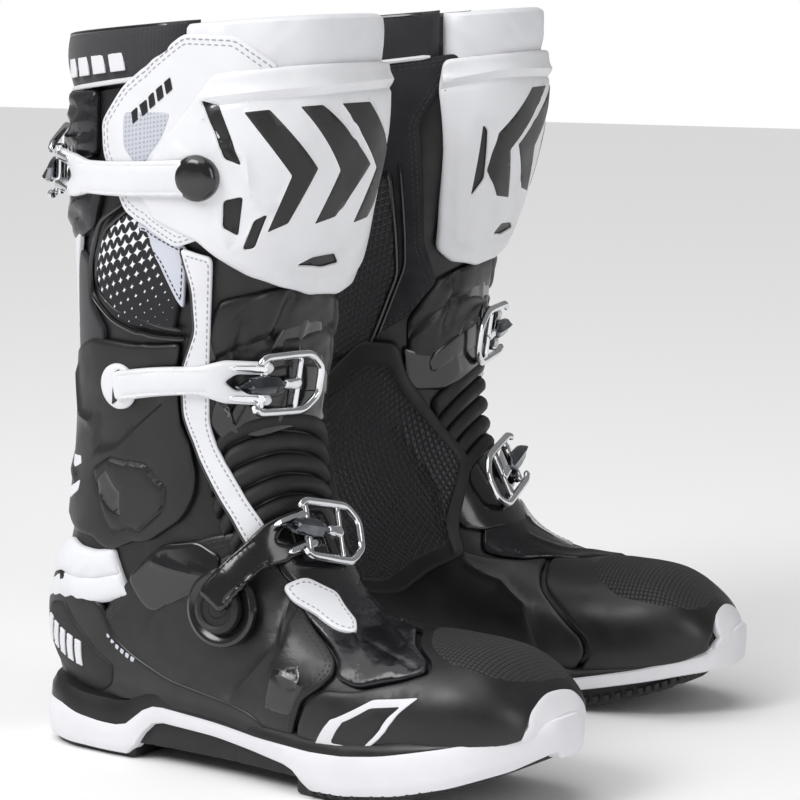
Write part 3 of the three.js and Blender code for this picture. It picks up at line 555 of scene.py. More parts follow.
# ---- materials ----
class Look:
    """A node material: grain and colour from textures in millimetres, on a Principled shader."""

    def __init__(self, name, color, rough, metal=0.0, coat=0.0, specular=0.5, sheen=0.0):
        self.material = bpy.data.materials.new(name)
        self.material.use_nodes = True
        self.nodes = self.material.node_tree.nodes
        self.links = self.material.node_tree.links
        self.shader = self.nodes["Principled BSDF"]
        self.color = color
        self.set("Base Color", (*color, 1))
        self.set("Roughness", rough)
        self.set("Metallic", metal)
        self.set("Coat Weight", coat)
        self.set("Coat Roughness", 0.12)
        self.set("Specular IOR Level", specular)
        self.set("Sheen Weight", sheen)
        self.height = None
        self.material.diffuse_color = (*color, 1)

    def set(self, socket, value):
        self.shader.inputs[socket].default_value = value

    def node(self, kind, **values):
        node = self.nodes.new(kind)
        for key, value in values.items():
            if key in node.inputs:
                node.inputs[key].default_value = value
            else:
                setattr(node, key, value)
        return node

    def place(self, flat=False, scale=1.0, stretch=(1, 1, 1)):
        """Coordinates in millimetres times scale: on the piece's flat map, or in space."""
        coordinates = self.node("ShaderNodeTexCoord")
        mapping = self.node("ShaderNodeMapping")
        unit_scale = 100.0 if flat else 1000.0
        mapping.inputs["Scale"].default_value = tuple(unit_scale * scale * s for s in stretch)
        self.links.new(coordinates.outputs["UV" if flat else "Object"], mapping.inputs["Vector"])
        return mapping.outputs["Vector"]

    def noise(self, scale, detail=4.0, flat=False, stretch=(1, 1, 1), distortion=0.0):
        texture = self.node("ShaderNodeTexNoise", Scale=1.0, Detail=detail, Distortion=distortion)
        self.links.new(self.place(flat, scale, stretch), texture.inputs["Vector"])
        return texture.outputs["Fac"]

    def cells(self, scale, feature="DISTANCE_TO_EDGE", flat=False, stretch=(1, 1, 1), randomness=1.0):
        texture = self.node("ShaderNodeTexVoronoi", Scale=1.0, Randomness=randomness)
        texture.feature = feature
        self.links.new(self.place(flat, scale, stretch), texture.inputs["Vector"])
        return texture.outputs["Distance"]

    def math(self, operation, a, b=0.0, clamp=False):
        node = self.node("ShaderNodeMath", operation=operation, use_clamp=clamp)
        for k, value in enumerate((a, b)):
            if isinstance(value, (int, float)):
                node.inputs[k].default_value = value
            else:
                self.links.new(value, node.inputs[k])
        return node.outputs[0]

    def spread(self, value, low, high, to_low, to_high):
        node = self.node("ShaderNodeMapRange")
        self.links.new(value, node.inputs["Value"])
        for key, number in zip(("From Min", "From Max", "To Min", "To Max"),
                               (low, high, to_low, to_high)):
            node.inputs[key].default_value = number
        return node.outputs["Result"]

    def tint(self, factor, other):
        """Mixes the piece's colour, or what it is by now, towards other."""
        mix = self.node("ShaderNodeMix", data_type="RGBA")
        self.links.new(factor, mix.inputs["Factor"])
        socket = self.shader.inputs["Base Color"]
        if socket.is_linked:
            self.links.new(socket.links[0].from_socket, mix.inputs["A"])
        else:
            mix.inputs["A"].default_value = (*self.color, 1)
        mix.inputs["B"].default_value = (*other, 1)
        self.links.new(mix.outputs["Result"], socket)
        return self

    def bump(self, height, strength=0.4, depth=0.1):
        """Adds a bump of depth millimetres to the ones already there."""
        node = self.node("ShaderNodeBump", Strength=strength, Distance=depth * MM)
        self.links.new(height, node.inputs["Height"])
        if self.height is not None:
            self.links.new(self.height, node.inputs["Normal"])
        self.height = node.outputs["Normal"]
        self.links.new(self.height, self.shader.inputs["Normal"])
        return self

    def gloss(self, factor, low, high):
        self.links.new(self.spread(factor, 0.3, 0.7, low, high), self.shader.inputs["Roughness"])
        return self

    def worn(self, other, amount=0.5, scale=0.03):
        """Patches of another colour, where slow noise is high."""
        self.tint(self.spread(self.noise(scale, 5), 0.42, 0.72, 0.0, amount), other)
        return self


def moulded(name, color, other, rough=0.42, coat=0.0, grain=0.35):
    look = Look(name, color, rough, coat=coat)
    look.worn(other, 0.55)
    look.gloss(look.noise(0.05, 4), rough - 0.08, rough + 0.1)
    look.bump(look.cells(1.6, "F1"), grain, 0.05)
    look.bump(look.noise(0.12, 2), 0.25, 0.25)
    return look.material


def leather(name, color, other, rough=0.5, wrinkle=0.3, grain=0.5):
    look = Look(name, color, rough, specular=0.45)
    look.worn(other, 0.6)
    look.gloss(look.noise(0.08, 4), rough - 0.1, rough + 0.12)
    look.bump(look.cells(0.85), grain, 0.1)
    look.bump(look.noise(0.09, 3, distortion=0.6), wrinkle, 0.6)
    return look.material


def textile(name, color, other, pitch=1.1, rough=0.85):
    look = Look(name, color, rough, specular=0.25, sheen=0.25)
    look.worn(other, 0.6)
    weave = look.cells(1 / pitch, "F1", flat=True, randomness=0.15)
    look.bump(weave, 0.6, 0.25)
    look.tint(look.spread(weave, 0.25, 0.6, 0, 0.6), other)
    return look.material


def mesh_rubber(name, color, groove_shade, pitch=3.2, rough=0.5, deep=0.7):
    """Small raised hexagons, with painted shade darkening the grooves between them."""
    look = Look(name, color, rough)
    hexagons = look.cells(1 / pitch, "DISTANCE_TO_EDGE", flat=True, stretch=(1, 0.78, 1),
                          randomness=0.12)
    look.bump(look.spread(hexagons, 0.02, 0.24, 0, 1), 0.9, deep)
    # The grooves between the hexagons are tinted darker: painted shade.
    look.tint(look.spread(hexagons, 0.16, 0.02, 0, 0.85), groove_shade)
    look.bump(look.noise(0.6, 3), 0.2, 0.1)
    return look.material


def grid_rubber(name, color, groove_shade, pitch=2.4):
    """Small square studs in rows, with painted shade darkening the grooves between them."""
    look = Look(name, color, 0.6)
    split = look.node("ShaderNodeSeparateXYZ")
    look.links.new(look.place(True, 1 / pitch), split.inputs[0])
    u = look.math("PINGPONG", split.outputs[0], 0.5)
    v = look.math("PINGPONG", split.outputs[1], 0.5)
    both = look.math("MINIMUM", u, v)
    look.bump(look.spread(both, 0.02, 0.2, 0, 1), 0.9, 0.6)
    # The grooves between the studs are tinted darker: painted shade.
    look.tint(look.spread(both, 0.13, 0.03, 0, 0.9), groove_shade)
    return look.material


def halftone(name, color, spot, pitch=6.0, fade=(4.0, 66.0)):
    """Woven panel with a pattern of four-pointed spots, smaller towards one end."""
    look = Look(name, color, 0.75, specular=0.3)
    split = look.node("ShaderNodeSeparateXYZ")
    look.links.new(look.place(True, 1 / pitch), split.inputs[0])
    shifted = look.math("ADD", split.outputs[0], look.math("MULTIPLY",
                                                           look.math("FLOOR", split.outputs[1]), 0.5))
    u, v = (look.math("ABSOLUTE", look.math("SUBTRACT", look.math("FRACT", value), 0.5))
            for value in (shifted, split.outputs[1]))
    spread = look.math("ADD", look.math("POWER", u, 0.62), look.math("POWER", v, 0.62))
    size = look.spread(split.outputs[1], fade[0] / pitch, fade[1] / pitch, 0.12, 0.74)
    look.tint(look.math("MULTIPLY", look.math("SUBTRACT", size, spread), 14.0, clamp=True), spot)
    weave = look.cells(0.9, "F1", flat=True, randomness=0.1)
    look.bump(weave, 0.5, 0.2)
    return look.material


def perforated(name, color, hole_shade, pitch=2.4):
    look = Look(name, color, 0.55)
    holes = look.cells(1 / pitch, "F1", flat=True, randomness=0.0)
    # The holes are tinted darker: painted shade inside them.
    factor = look.spread(holes, 0.2, 0.3, 0.75, 0)
    look.tint(factor, hole_shade)
    look.bump(look.spread(holes, 0.18, 0.34, 0, 1), 0.6, 0.3)
    return look.material


def metal(name, color, rough, other):
    look = Look(name, color, rough, metal=1.0)
    look.worn(other, 0.5, 0.08)
    look.gloss(look.noise(0.3, 3), rough * 0.7, rough * 1.5)
    look.bump(look.noise(0.5, 2), 0.08, 0.1)
    return look.material


WHITE = (0.80, 0.805, 0.83)
WARM = (0.70, 0.70, 0.725)
SOOT = (0.02, 0.02, 0.022)
LOOKS = {
    "white_shell": moulded("white_shell", WHITE, WARM, 0.36, grain=0.15),
    "white_leather": leather("white_leather", (0.79, 0.795, 0.825), WARM, 0.5, 0.15, 0.3),
    "white_rubber": moulded("white_rubber", (0.78, 0.78, 0.81), WARM, 0.5, grain=0.25),
    "grey_leather": leather("grey_leather", (0.60, 0.62, 0.69), (0.5, 0.52, 0.6), 0.55, 0.15, 0.3),
    "grey_perforated": perforated("grey_perforated", (0.55, 0.57, 0.63), (0.3, 0.31, 0.36)),
    "black_shell": moulded("black_shell", (0.009, 0.009, 0.010), SOOT, 0.4, grain=0.3),
    "black_gloss": moulded("black_gloss", (0.007, 0.007, 0.008), (0.014, 0.014, 0.016), 0.18, coat=0.5,
                           grain=0.08),
    "black_rubber": moulded("black_rubber", (0.009, 0.009, 0.010), (0.018, 0.018, 0.02), 0.6, grain=0.5),
    "black_leather": leather("black_leather", (0.009, 0.009, 0.010), (0.02, 0.02, 0.022), 0.38, 0.5,
                             0.6),
    "black_suede": leather("black_suede", (0.011, 0.011, 0.014), (0.022, 0.022, 0.026), 0.8, 0.15, 0.4),
    "black_patent": leather("black_patent", (0.008, 0.008, 0.010), (0.025, 0.025, 0.03), 0.2, 1.0, 0.25),
    "black_textile": textile("black_textile", (0.02, 0.02, 0.023), (0.045, 0.045, 0.05)),
    "mesh": mesh_rubber("mesh", (0.022, 0.022, 0.026), (0.004, 0.004, 0.005)),
    "toe_grid": grid_rubber("toe_grid", (0.03, 0.03, 0.032), (0.005, 0.005, 0.006)),
    "halftone": halftone("halftone", (0.02, 0.02, 0.023), WHITE),
    "lining": textile("lining", (0.10, 0.10, 0.11), (0.05, 0.05, 0.055), 1.6),
    "thread_black": textile("thread_black", (0.02, 0.02, 0.022), (0.05, 0.05, 0.055), 0.5),
    "thread_grey": textile("thread_grey", (0.42, 0.42, 0.46), (0.3, 0.3, 0.33), 0.5),
    "chrome": metal("chrome", (0.82, 0.83, 0.85), 0.1, (0.6, 0.61, 0.64)),
    "dark_chrome": metal("dark_chrome", (0.12, 0.125, 0.14), 0.16, (0.3, 0.31, 0.34)),
    "steel": metal("steel", (0.4, 0.41, 0.42), 0.35, (0.3, 0.3, 0.31)),
}


def looks(*names):
    return [LOOKS[name] for name in names]


# ---- pieces ----
SKIN = {"outer": 1.4, "inner": 5.2}  # insets of the skin's two faces
LINING = {"outer": 7.6, "inner": 9.6}


def base_skin():
    """Dark skin under all the panels, thick, closed at the toe and open at the top."""
    rows = np.concatenate([[0.6], np.linspace(0.8, 13.55, 66)])
    return shell(rows, 84, **SKIN)


def lining_bag():
    rows = np.concatenate([[1.6], np.linspace(1.9, 13.7, 42)])
    return shell(rows, 60, **LINING)


def wrap_band(t_low, t_high, phi_from, phi_to, bulge, thick, count=60, wrinkle=0.0):
    """A padded band round part of the top of the shaft, rolled over at its upper edge."""
    rows = []
    for a in np.linspace(0, 1, 9):
        rows.append((t_low + (t_high - t_low) * a,
                     bulge * math.sin(math.pi * min(1, 0.08 + 0.62 * a)) + 0.6))
    for a in np.linspace(0.15, 1, 6):
        angle = a * math.pi
        rows.append((t_high + 0.035 * math.sin(angle),
                     0.6 + bulge * 0.8 * math.cos(angle / 2) - thick * a))
    for a in np.linspace(0.2, 1, 4):
        rows.append((t_high + (t_low + 0.1 - t_high) * a, -thick))
    phi = np.linspace(phi_from, phi_to, count)
    end = np.clip(np.minimum(phi - phi_from, phi_to - phi) / 10, 0, 1)
    points = []
    for t, height in rows:
        fade = np.sqrt(1 - (1 - end) ** 2)
        rough = wrinkle * np.sin(phi * 0.42 + t * 31) * np.sin(phi * 0.11 + t * 3)
        flat_top = np.clip(t, 0, LAST)
        lift = skin(np.full(count, flat_top), phi, 0) + outward(np.full(count, flat_top), phi) * (
            (height + thick) * fade - thick + rough * (height > 0))[:, None]
        lift[:, 2] += (t - flat_top) * 60
        points.append(lift)
    faces = []
    total = len(rows)
    for i in range(total):
        j = (i + 1) % total
        for k in range(count - 1):
            faces.append((i * count + k, j * count + k, j * count + k + 1, i * count + k + 1))
    faces.append(tuple(i * count for i in range(total)))
    faces.append(tuple(i * count + count - 1 for i in reversed(range(total))))
    flats = np.vstack([np.stack([phi * 1.05, np.full(count, t * 60.0)], 1) for t, _ in rows])
    return Draft().add(np.vstack(points), faces, flats)


def puff_wave(amount, pitch, seed):
    """Soft folds: a sum of slanting waves."""
    rng = np.random.default_rng(seed)
    terms = [(rng.uniform(0.6, 1.6), rng.uniform(-0.5, 0.5), rng.uniform(0, 6.3)) for _ in range(4)]

    def wave(uv):
        total = 0
        for frequency, slant, phase in terms:
            total = total + np.sin(6.283 / pitch * frequency * (uv[:, 1] + slant * uv[:, 0]) + phase)
        return amount * total / 2

    return wave


def blocks(surface, places, count, height, thick=0.7, skew=0.35, gap=0.3):
    """Plain slanted blocks in a row, in place of a mark: places are four corners, t and phi."""
    a, b, c, d = surface.flat(places)
    draft = Draft()
    for k in range(count):
        low, high = k / count, (k + 1 - gap) / count
        shape = []
        for x, y in ((low, 0), (high, 0), (high, 1), (low, 1)):
            x = x + (y - 0.5) * skew / count
            shape.append((a + (b - a) * x) * (1 - y) + (d + (c - d) * x) * y)
        draft.join(relief(surface, np.array(shape), height, thick, 0.3, 0.8, raw=True, spacing=3))
    return draft


def panel(name, outline, looks_used, body, base=-0.9, wall=2.4, edge=1.0, replaces=(), bend=False,
          seam=None, radius=4, crown=0.0, reach=10, features=(), spacing=4.5, wave=None,
          rows=1, thread="thread_black"):
    """A panel on the form. With a seam, rows of stitches run that far inside its edge."""
    surface = Form(outline)
    draft = relief(surface, outline, base, wall, edge, radius, crown, reach, features, spacing,
                   wave=wave)
    publish(name, draft, looks_used, body, replaces, bend)
    if seam:
        ring = resampled(rounded(surface.flat(outline), radius), PLATE_STEP)
        stitched = Draft()
        for row in range(rows):
            gap = seam + STITCH["rows"] * row
            line = ring + inward(ring) * gap
            line = line[distance(line, ring) > gap * 0.9]
            flat_stitches(surface, line, base + wall + crown * 0.3 - 0.05, stitched)
        publish(f"{name}_stitches", stitched, looks(thread), body, bend=bend)
    return surface


# ---- shaft: collar, front band, side panels ----
def shaft_top():
    collar = wrap_band(13.6, 13.97, 76, 300, 5.2, 7, 90)
    publish("top_collar", collar, looks("black_textile"), "cuff", ("collar",))
    gaiter = wrap_band(13.5, 13.94, -58, 82, 3.0, 7, 70, 0.35)
    publish("front_band", gaiter, looks("white_leather"), "cuff", ("collar",))
    edge = bead([(13.98, p) for p in range(84, 300, 8)], 3.4, 1.5, corner=2)
    publish("collar_piping", edge, looks("black_gloss"), "cuff")
    lower = bead([(13.6, p) for p in range(80, 300, 8)], 2.0, 1.4, corner=2)
    publish("collar_seam_piping", lower, looks("white_rubber"), "cuff")
    surface = Form([(13.8, 90), (13.8, 150)])
    marks = blocks(surface, [(13.67, 98), (13.67, 142), (13.9, 142), (13.9, 98)], 4, 4.7, 0.9, 0.25,
                   0.28)
    publish("collar_blocks", marks, looks("white_rubber"), "cuff")


def side_panels():
    panel("side_upper", [(13.9, 78), (13.84, 56), (13.56, 36), (13.3, 60), (12.6, 60), (12.14, 68),
                         (12.14, 79), (12.6, 97), (13.08, 108), (13.32, 109), (13.56, 98)],
          looks("white_leather"), "cuff", base=1.6, wall=3.4, seam=2.4, rows=2,
          crown=0.6, replaces=("lateral_panel",), thread="thread_grey")
    panel("side_perforated", [(13.3, 82), (13.36, 97), (13.1, 97), (12.9, 90), (13.1, 85)],
          looks("grey_perforated"), "cuff", base=4.6, wall=1.2, edge=0.5, crown=0.4)
    mark = blocks(Form([(13.4, 84), (13.4, 100)]), [(13.26, 92), (13.5, 80), (13.58, 82), (13.34, 94)],
                  5, 5.4)
    publish("side_bar", mark, looks("black_shell"), "cuff")
    knit = [(12.58, 97), (12.46, 112), (12.2, 117), (11.96, 112), (11.66, 99), (11.24, 78), (11.6, 77),
            (12.04, 84), (12.4, 88)]
    panel("side_knit", knit, looks("halftone"), "cuff", wall=3.2, crown=2.2, reach=8,
          replaces=("lateral_panel",))
    outer = [(12.66, 99), (12.58, 113), (12.3, 122), (12.06, 121), (11.74, 105), (11.5, 92), (11.06, 72)]
    inner = [(12.6, 97), (12.5, 110), (12.25, 117), (12.08, 116), (11.82, 103), (11.56, 89), (11.2, 74)]
    piping = bead(outer, 1.9, 1.5)
    bead(inner, 1.9, 1.3, draft=piping)
    publish("knit_piping", piping, looks("black_gloss"), "cuff")
    panel("side_wedge", [(12.5, 92), (12.36, 92), (12.06, 86), (11.6, 78), (11.44, 74), (12.1, 75)],
          looks("grey_leather"), "cuff", base=1.0, wall=2.0, crown=0.5, seam=2.2)
    puffs = (
        ("upper_puff", [(13.56, 116), (13.62, 150), (13.1, 166), (13.04, 140), (13.08, 116)], 51),
        ("lower_puff", [(12.92, 110), (12.98, 146), (12.6, 166), (12.5, 140), (12.56, 118)], 52),
    )
    for name, outline, seed in puffs:
        panel(name, outline, looks("black_patent"), "cuff", wall=3.4, edge=2.2, crown=3.6,
              reach=7, replaces=("lateral_panel",), wave=puff_wave(1.1, 17, seed), spacing=3.2)
    panel("rear_side", [(12.52, 142), (12.3, 124), (12.0, 124), (11.7, 112), (11.5, 112), (11.62, 150),
                        (12.1, 150)],
          looks("black_textile"), "cuff", wall=2.6, crown=1.2)
    panel("rear_sliver", [(12.6, 144), (12.6, 130), (12.34, 137), (12.06, 141), (11.86, 143),
                          (12.2, 149)],
          looks("white_leather"), "cuff", base=0.4, wall=2.6)
    panel("back_panel", [(13.58, 152), (13.58, 212), (12.4, 214), (11.72, 206), (11.72, 154),
                         (12.4, 150)],
          looks("black_leather"), "cuff", wall=3.0, edge=1.6, crown=1.6, seam=3, rows=2,
          features=(groove([(13.4, 182), (11.9, 182)], 1.2, 1.6),), replaces=("medial_panel",))
    panel("inner_suede", [(13.6, -48), (13.6, -146), (12.5, -150), (11.7, -146), (11.1, -92),
                          (10.62, -78), (10.56, -56), (10.9, -40), (11.66, -56), (12.3, -62),
                          (13.0, -68)],
          looks("black_suede"), "cuff", wall=2.6, crown=0.9, seam=3, rows=2,
          replaces=("medial_panel",), features=(groove([(13.5, -82), (12.72, -86), (12.66, -120)], 1,
                                                       1.4),))
    mesh = [(12.6, -78), (11.9, -72), (11.38, -68), (10.92, -72), (10.5, -76), (10.74, -92),
            (11.6, -104), (12.5, -108)]
    panel("inner_mesh", mesh, looks("mesh"), "cuff", base=0.9, wall=2.6, crown=1.0)
    rim = bead(mesh + mesh[:2], 3.4, 1.5)
    bead([(t + 0.06, p + 3.5) for t, p in mesh[:5]], 2.6, 1.2, draft=rim)
    publish("inner_mesh_piping", rim, looks("black_gloss"), "cuff")


# ---- shin ----
SHIN = [(13.56, 66), (13.3, 76), (13.04, 86), (12.72, 91), (12.46, 87), (12.14, 70), (11.92, 61),
        (11.52, 41), (11.2, 20), (10.98, 2), (10.94, -14), (11.2, -36), (11.5, -48), (12.1, -52),
        (12.7, -55), (13.3, -60), (13.56, -58)]


def shin():
    vents = (
        [(13.3, 63), (13.36, 70), (12.84, 60), (12.76, 52)],
        [(12.46, 50), (12.46, 59), (12.2, 58), (12.06, 50)],
        [(12.24, 37), (12.2, 43), (11.9, 47), (11.88, 41)],
        [(11.5, 14), (11.58, 6), (11.6, -3), (11.46, -7), (11.42, 0)],
        [(12.9, -36), (12.84, -33), (12.3, -29), (12.12, -35)],
    )
    dished = [
        area([(13.24, 70), (12.86, 66), (12.3, 64), (11.94, 52), (12.2, 42), (12.6, 50), (13.0, 60)],
             -1.5, 3.0),
        area([(11.66, 24), (11.62, 6), (11.66, -14), (11.36, -14), (11.3, 2), (11.4, 18)], -1.2, 2.6),
        area([(12.96, -40), (12.9, -30), (12.2, -24), (12.0, -38)], -1.2, 2.4),
    ]
    # The vents are not cut through: they are sunk areas painted in the black shell, painted shade standing
    # for the dark inside of open vents.
    deep = [area(vent, -1.6, 1.0, 1) for vent in vents]
    chevron = ((13.22, 52), (13.22, 41), (12.64, 15), (12.1, 26), (12.04, 36), (12.6, 28))
    bars = [[(t, phi - 25 * k) for t, phi in chevron] for k in range(2)]
    bars.append([(13.22, 6), (13.22, -5), (12.8, -27), (12.4, -29), (12.06, -18), (12.0, -7),
                 (12.6, -16)])
    marks = [area(b, 0.5, 0.6, 1, 1) for b in bars]
    bands = [
        groove([(13.38, 70), (13.38, 24), (13.42, -30), (13.38, -58)], -1.8, 2.4),
        groove([(13.3, 66), (13.3, 24), (13.34, -30), (13.3, -58)], 1.0, 1.2),
        groove([(12.98, 62), (12.84, 50), (12.5, 47), (12.3, 36)], -1.4, 1.8),
        groove([(13.0, 80), (12.8, 66), (12.3, 61), (11.86, 52), (11.5, 32)], -1.1, 2.4),
        groove([(12.9, -48), (12.2, -44), (11.6, -38), (11.3, -20)], -0.9, 2.4),
    ]
    panel("shin_armour", SHIN, looks("white_shell", "black_shell"), "cuff", base=2.0,
          wall=4.6, edge=1.8, crown=1.6, reach=12, replaces=("shin_plate",),
          features=(*bands, *dished, *deep, *marks), spacing=4)
    thread = stitches(Form([(13, -58), (12, -50)]), [(13.3, -57), (12.6, -52), (12.0, -49), (11.5, -45)],
                      6.4, Draft())
    publish("shin_edge_stitches", thread, looks("thread_black"), "cuff")
    knob = Form([(12.72, 70), (12.72, 76)])
    profile = [(0.4, 4), (11.4, 4), (12.2, 6), (12.2, 9.4), (11.4, 11.6), (9.2, 13), (6.6, 13.6),
               (0.4, 13.8)]
    publish("shin_knob", lathe(knob, (12.72, 70.5), profile), looks("black_gloss"), "cuff",
            ("top_anchor",), sharp=50)


def front():
    quilt = [(11.16, 34), (11.1, 14), (10.92, -16), (10.9, -40), (10.5, -56), (9.6, -52), (9.2, -46),
             (9.16, 40), (9.5, 60), (10.2, 62), (10.9, 60), (11.3, 56)]
    channels = (
        groove([(11.0, 8), (10.5, 16), (9.9, 14), (9.2, 16)], 2.4, 3.0),
        groove([(10.9, -26), (10.4, -24), (9.9, -30)], 2.4, 3.0),
        groove([(10.9, 40), (10.4, 40), (9.8, 42), (9.3, 40)], 2.4, 3.0),
        groove([(10.5, 60), (10.4, 40), (10.34, 14), (10.4, -24), (10.2, -54)], 1.8, 2.6),
    )
    panel("front_quilt", quilt, looks("black_leather"), "cuff", base=-1.0, wall=2.8,
          edge=1.8, crown=2.2, reach=7, features=channels, replaces=("tongue",), spacing=3.6,
          wave=puff_wave(0.35, 14, 7))
    lower = [(10.66, 6), (10.7, -8), (10.3, -12), (9.98, -10), (9.5, -36), (10.06, -57), (9.1, -52),
             (8.6, -30), (8.46, 0), (8.5, 24), (8.96, 44), (9.36, 42), (9.86, 28), (10.3, 16)]
    ridges = (
        groove([(10.5, 0), (9.9, 2), (9.2, 6), (8.7, 12)], -0.9, 2.0),
        groove([(9.9, -12), (9.3, -20), (8.8, -16)], -0.7, 2.0),
        groove([(9.86, 26), (9.3, 30), (8.9, 40)], -0.7, 2.0),
    )
    panel("front_lower_plate", lower, looks("black_gloss"), "cuff", base=-0.2, wall=3.2,
          edge=1.6, crown=0.6, replaces=("lower_shin_plate",), features=ridges)
    strips = (
        [(11.02, 70), (11.06, 60), (10.4, 52), (9.9, 46), (9.84, 54), (10.4, 64)],
        [(9.86, 52), (9.8, 46), (9.2, 40), (8.8, 36), (8.86, 46), (9.4, 54)],
    )
    for k, outline in enumerate(strips):
        panel(f"front_strip_{k}", outline, looks("black_gloss"), "cuff", base=0.6,
              wall=3.0, edge=1.2, crown=0.8, features=(groove([outline[0], outline[3]], -0.9, 1.2),))


# ---- white strip down the side, calf and ankle ----
def strip():
    strip_line = [(12.12, 77), (11.62, 70), (11.06, 66), (10.62, 71), (9.9, 68), (9.22, 61), (8.54, 56),
                  (7.5, 49), (6.4, 46), (6.26, 31), (7.06, 35), (8.04, 42), (8.8, 49), (9.44, 54),
                  (10.28, 56), (11.0, 58), (11.9, 62)]
    panel("side_strip", strip_line, looks("white_leather"), "cuff", base=2.6, wall=2.8,
          edge=0.9, seam=2.0, bend=True, rows=1, spacing=4, thread="thread_grey")
    border = bead(strip_line[:9], 3.6, 1.6)
    publish("side_strip_border", border, looks("black_gloss"), "cuff", bend=True)
    leaf = [(5.74, 41), (5.56, 24), (5.04, 9), (4.3, 16), (4.06, 26), (4.4, 31), (4.96, 32), (5.44, 40)]
    panel("instep_leaf", leaf, looks("white_leather"), "foot", base=2.8, wall=2.4,
          edge=0.8, seam=2.2, thread="thread_grey")


HEXAGON = [(10.26, 111), (10.2, 100), (9.64, 85), (8.94, 76), (8.66, 78), (8.7, 87), (9.1, 93)]


def calf():
    outline = [(11.72, 150), (11.7, 120), (11.54, 104), (11.04, 74), (10.66, 74), (10.2, 72), (9.8, 70),
               (9.3, 64), (8.7, 62), (8.4, 65), (8.26, 72), (8.44, 86), (8.9, 96), (9.3, 104),
               (9.7, 122), (10.1, 142), (10.2, 176), (10.2, 218), (10.1, 262), (9.4, 272), (8.7, 292),
               (9.6, 304), (10.5, 284), (11.2, 262), (11.7, 222), (11.72, 180)]
    facets = (
        area([(10.94, 112), (10.86, 84), (10.36, 80), (10.3, 98), (10.5, 112)], -1.2, 3.0),
        area(HEXAGON, 1.6, 2.0),
        groove(HEXAGON, 1.0, 1.1, True),
        area([(10.04, 108), (10.06, 101), (9.54, 91), (9.14, 90)], -0.8, 1.2, 1),
        groove([(11.5, 140), (11.1, 132), (10.9, 118)], -1.6, 2.4),
        groove([(10.5, 186), (11.5, 186)], 1.0, 2.0),
        groove([(10.4, 130), (10.7, 150), (11.3, 176)], -1.4, 2.6),
    )
    panel("calf_guard", outline, looks("black_shell", "black_gloss"), "cuff", base=-0.9,
          wall=4.0, edge=1.8, crown=1.2, replaces=("calf_shell",), features=facets, spacing=4.5,
          radius=6)
    accents = (
        [(10.78, 142), (10.62, 126), (10.5, 124), (10.6, 142)],
        [(10.4, 140), (10.3, 123), (10.18, 124), (10.24, 138)],
    )
    for k, corners in enumerate(accents):
        panel(f"calf_accent_{k}", corners, looks("white_rubber"), "cuff", base=2.8,
              wall=1.6, edge=0.6, radius=2)
    disc = Form([(11.03, 96), (11.03, 100)])
    profile = [(0.4, 3), (11.8, 3), (12.4, 4), (12.2, 5.4), (11, 6.4), (8, 6.9), (0.4, 7.1)]
    publish("calf_disc", lathe(disc, (11.03, 98), profile, 44), looks("white_shell"), "cuff",
            ("middle_anchor",))
    slot = Form([(10.9, 98), (11.16, 98)])
    mark = relief(slot, [(10.86, 99.5), (10.86, 96.5), (11.2, 96.5), (11.2, 99.5)], 6.6, 0.9, 0.3, 1)
    publish("calf_disc_slot", mark, looks("black_shell"), "cuff")
    across = np.array([94, 102, 114, 128, 150, 180, 210, 232, 246, 258, 266])
    upper = np.interp(across, (94, 110, 128, 150, 180, 210, 232, 250, 266),
                      (8.84, 9.3, 9.7, 9.86, 9.9, 9.86, 9.7, 9.3, 8.84))
    under = list(zip(upper - 0.1, across)) + list(zip(upper - 0.7, across))[::-1]
    panel("heel_bellow_base", under, looks("white_leather"), "cuff", base=-1.2,
          wall=2.6, edge=0.8, bend=True)
    for k in range(2):
        top, low = upper - 0.36 * k, upper - 0.36 * k - 0.42
        puff = list(zip(top, across)) + list(zip(low, across))[::-1]
        panel(f"heel_bellow_{k}", puff, looks("white_leather"), "cuff", base=-1.0,
              wall=3.2, edge=2.0, crown=2.6, reach=4, bend=True, radius=4, replaces=("rear_bellow",),
              wave=puff_wave(0.25, 12, 20 + k))


def ribs():
    """Five soft ribs over the front of the ankle."""
    outer_t = (9.15, 8.72, 8.3, 7.84, 7.36, 6.9)
    inner_t = (8.5, 8.06, 7.66, 7.2, 6.76, 6.32)
    side_t = (8.5, 8.12, 7.78, 7.4, 7.04, 6.7)
    across = (-40, 44, 80)

    def at(phi, n, f):
        """Place f of the way down rib n."""
        high = np.interp(phi, across, (inner_t[n], outer_t[n], side_t[n]))
        low = np.interp(phi, across, (inner_t[n + 1], outer_t[n + 1], side_t[n + 1]))
        return high + (low - high) * f

    for k in range(5):
        phis = (-38, -20, 0, 22, 44, 58)
        outline = [(at(p, k, 0.02), p) for p in phis] + [(at(p, k, 0.94), p) for p in reversed(phis)]
        panel(f"ankle_rib_{k}", outline, looks("black_rubber"), "cuff", base=-1.4,
              wall=3.4, edge=2.4, crown=3.4, reach=5, bend=True, radius=3, replaces=("front_bellows",),
              spacing=3.4)


GUARD = [(10.7, -80), (10.2, -60), (9.56, -54), (8.8, -44), (8.1, -36), (7.3, -27), (6.7, -22),
         (6.3, -38), (6.0, -56), (5.66, -62), (5.9, -72), (6.2, -82), (6.5, -95), (7.3, -104),
         (8.2, -104), (9.2, -112), (10.2, -112)]


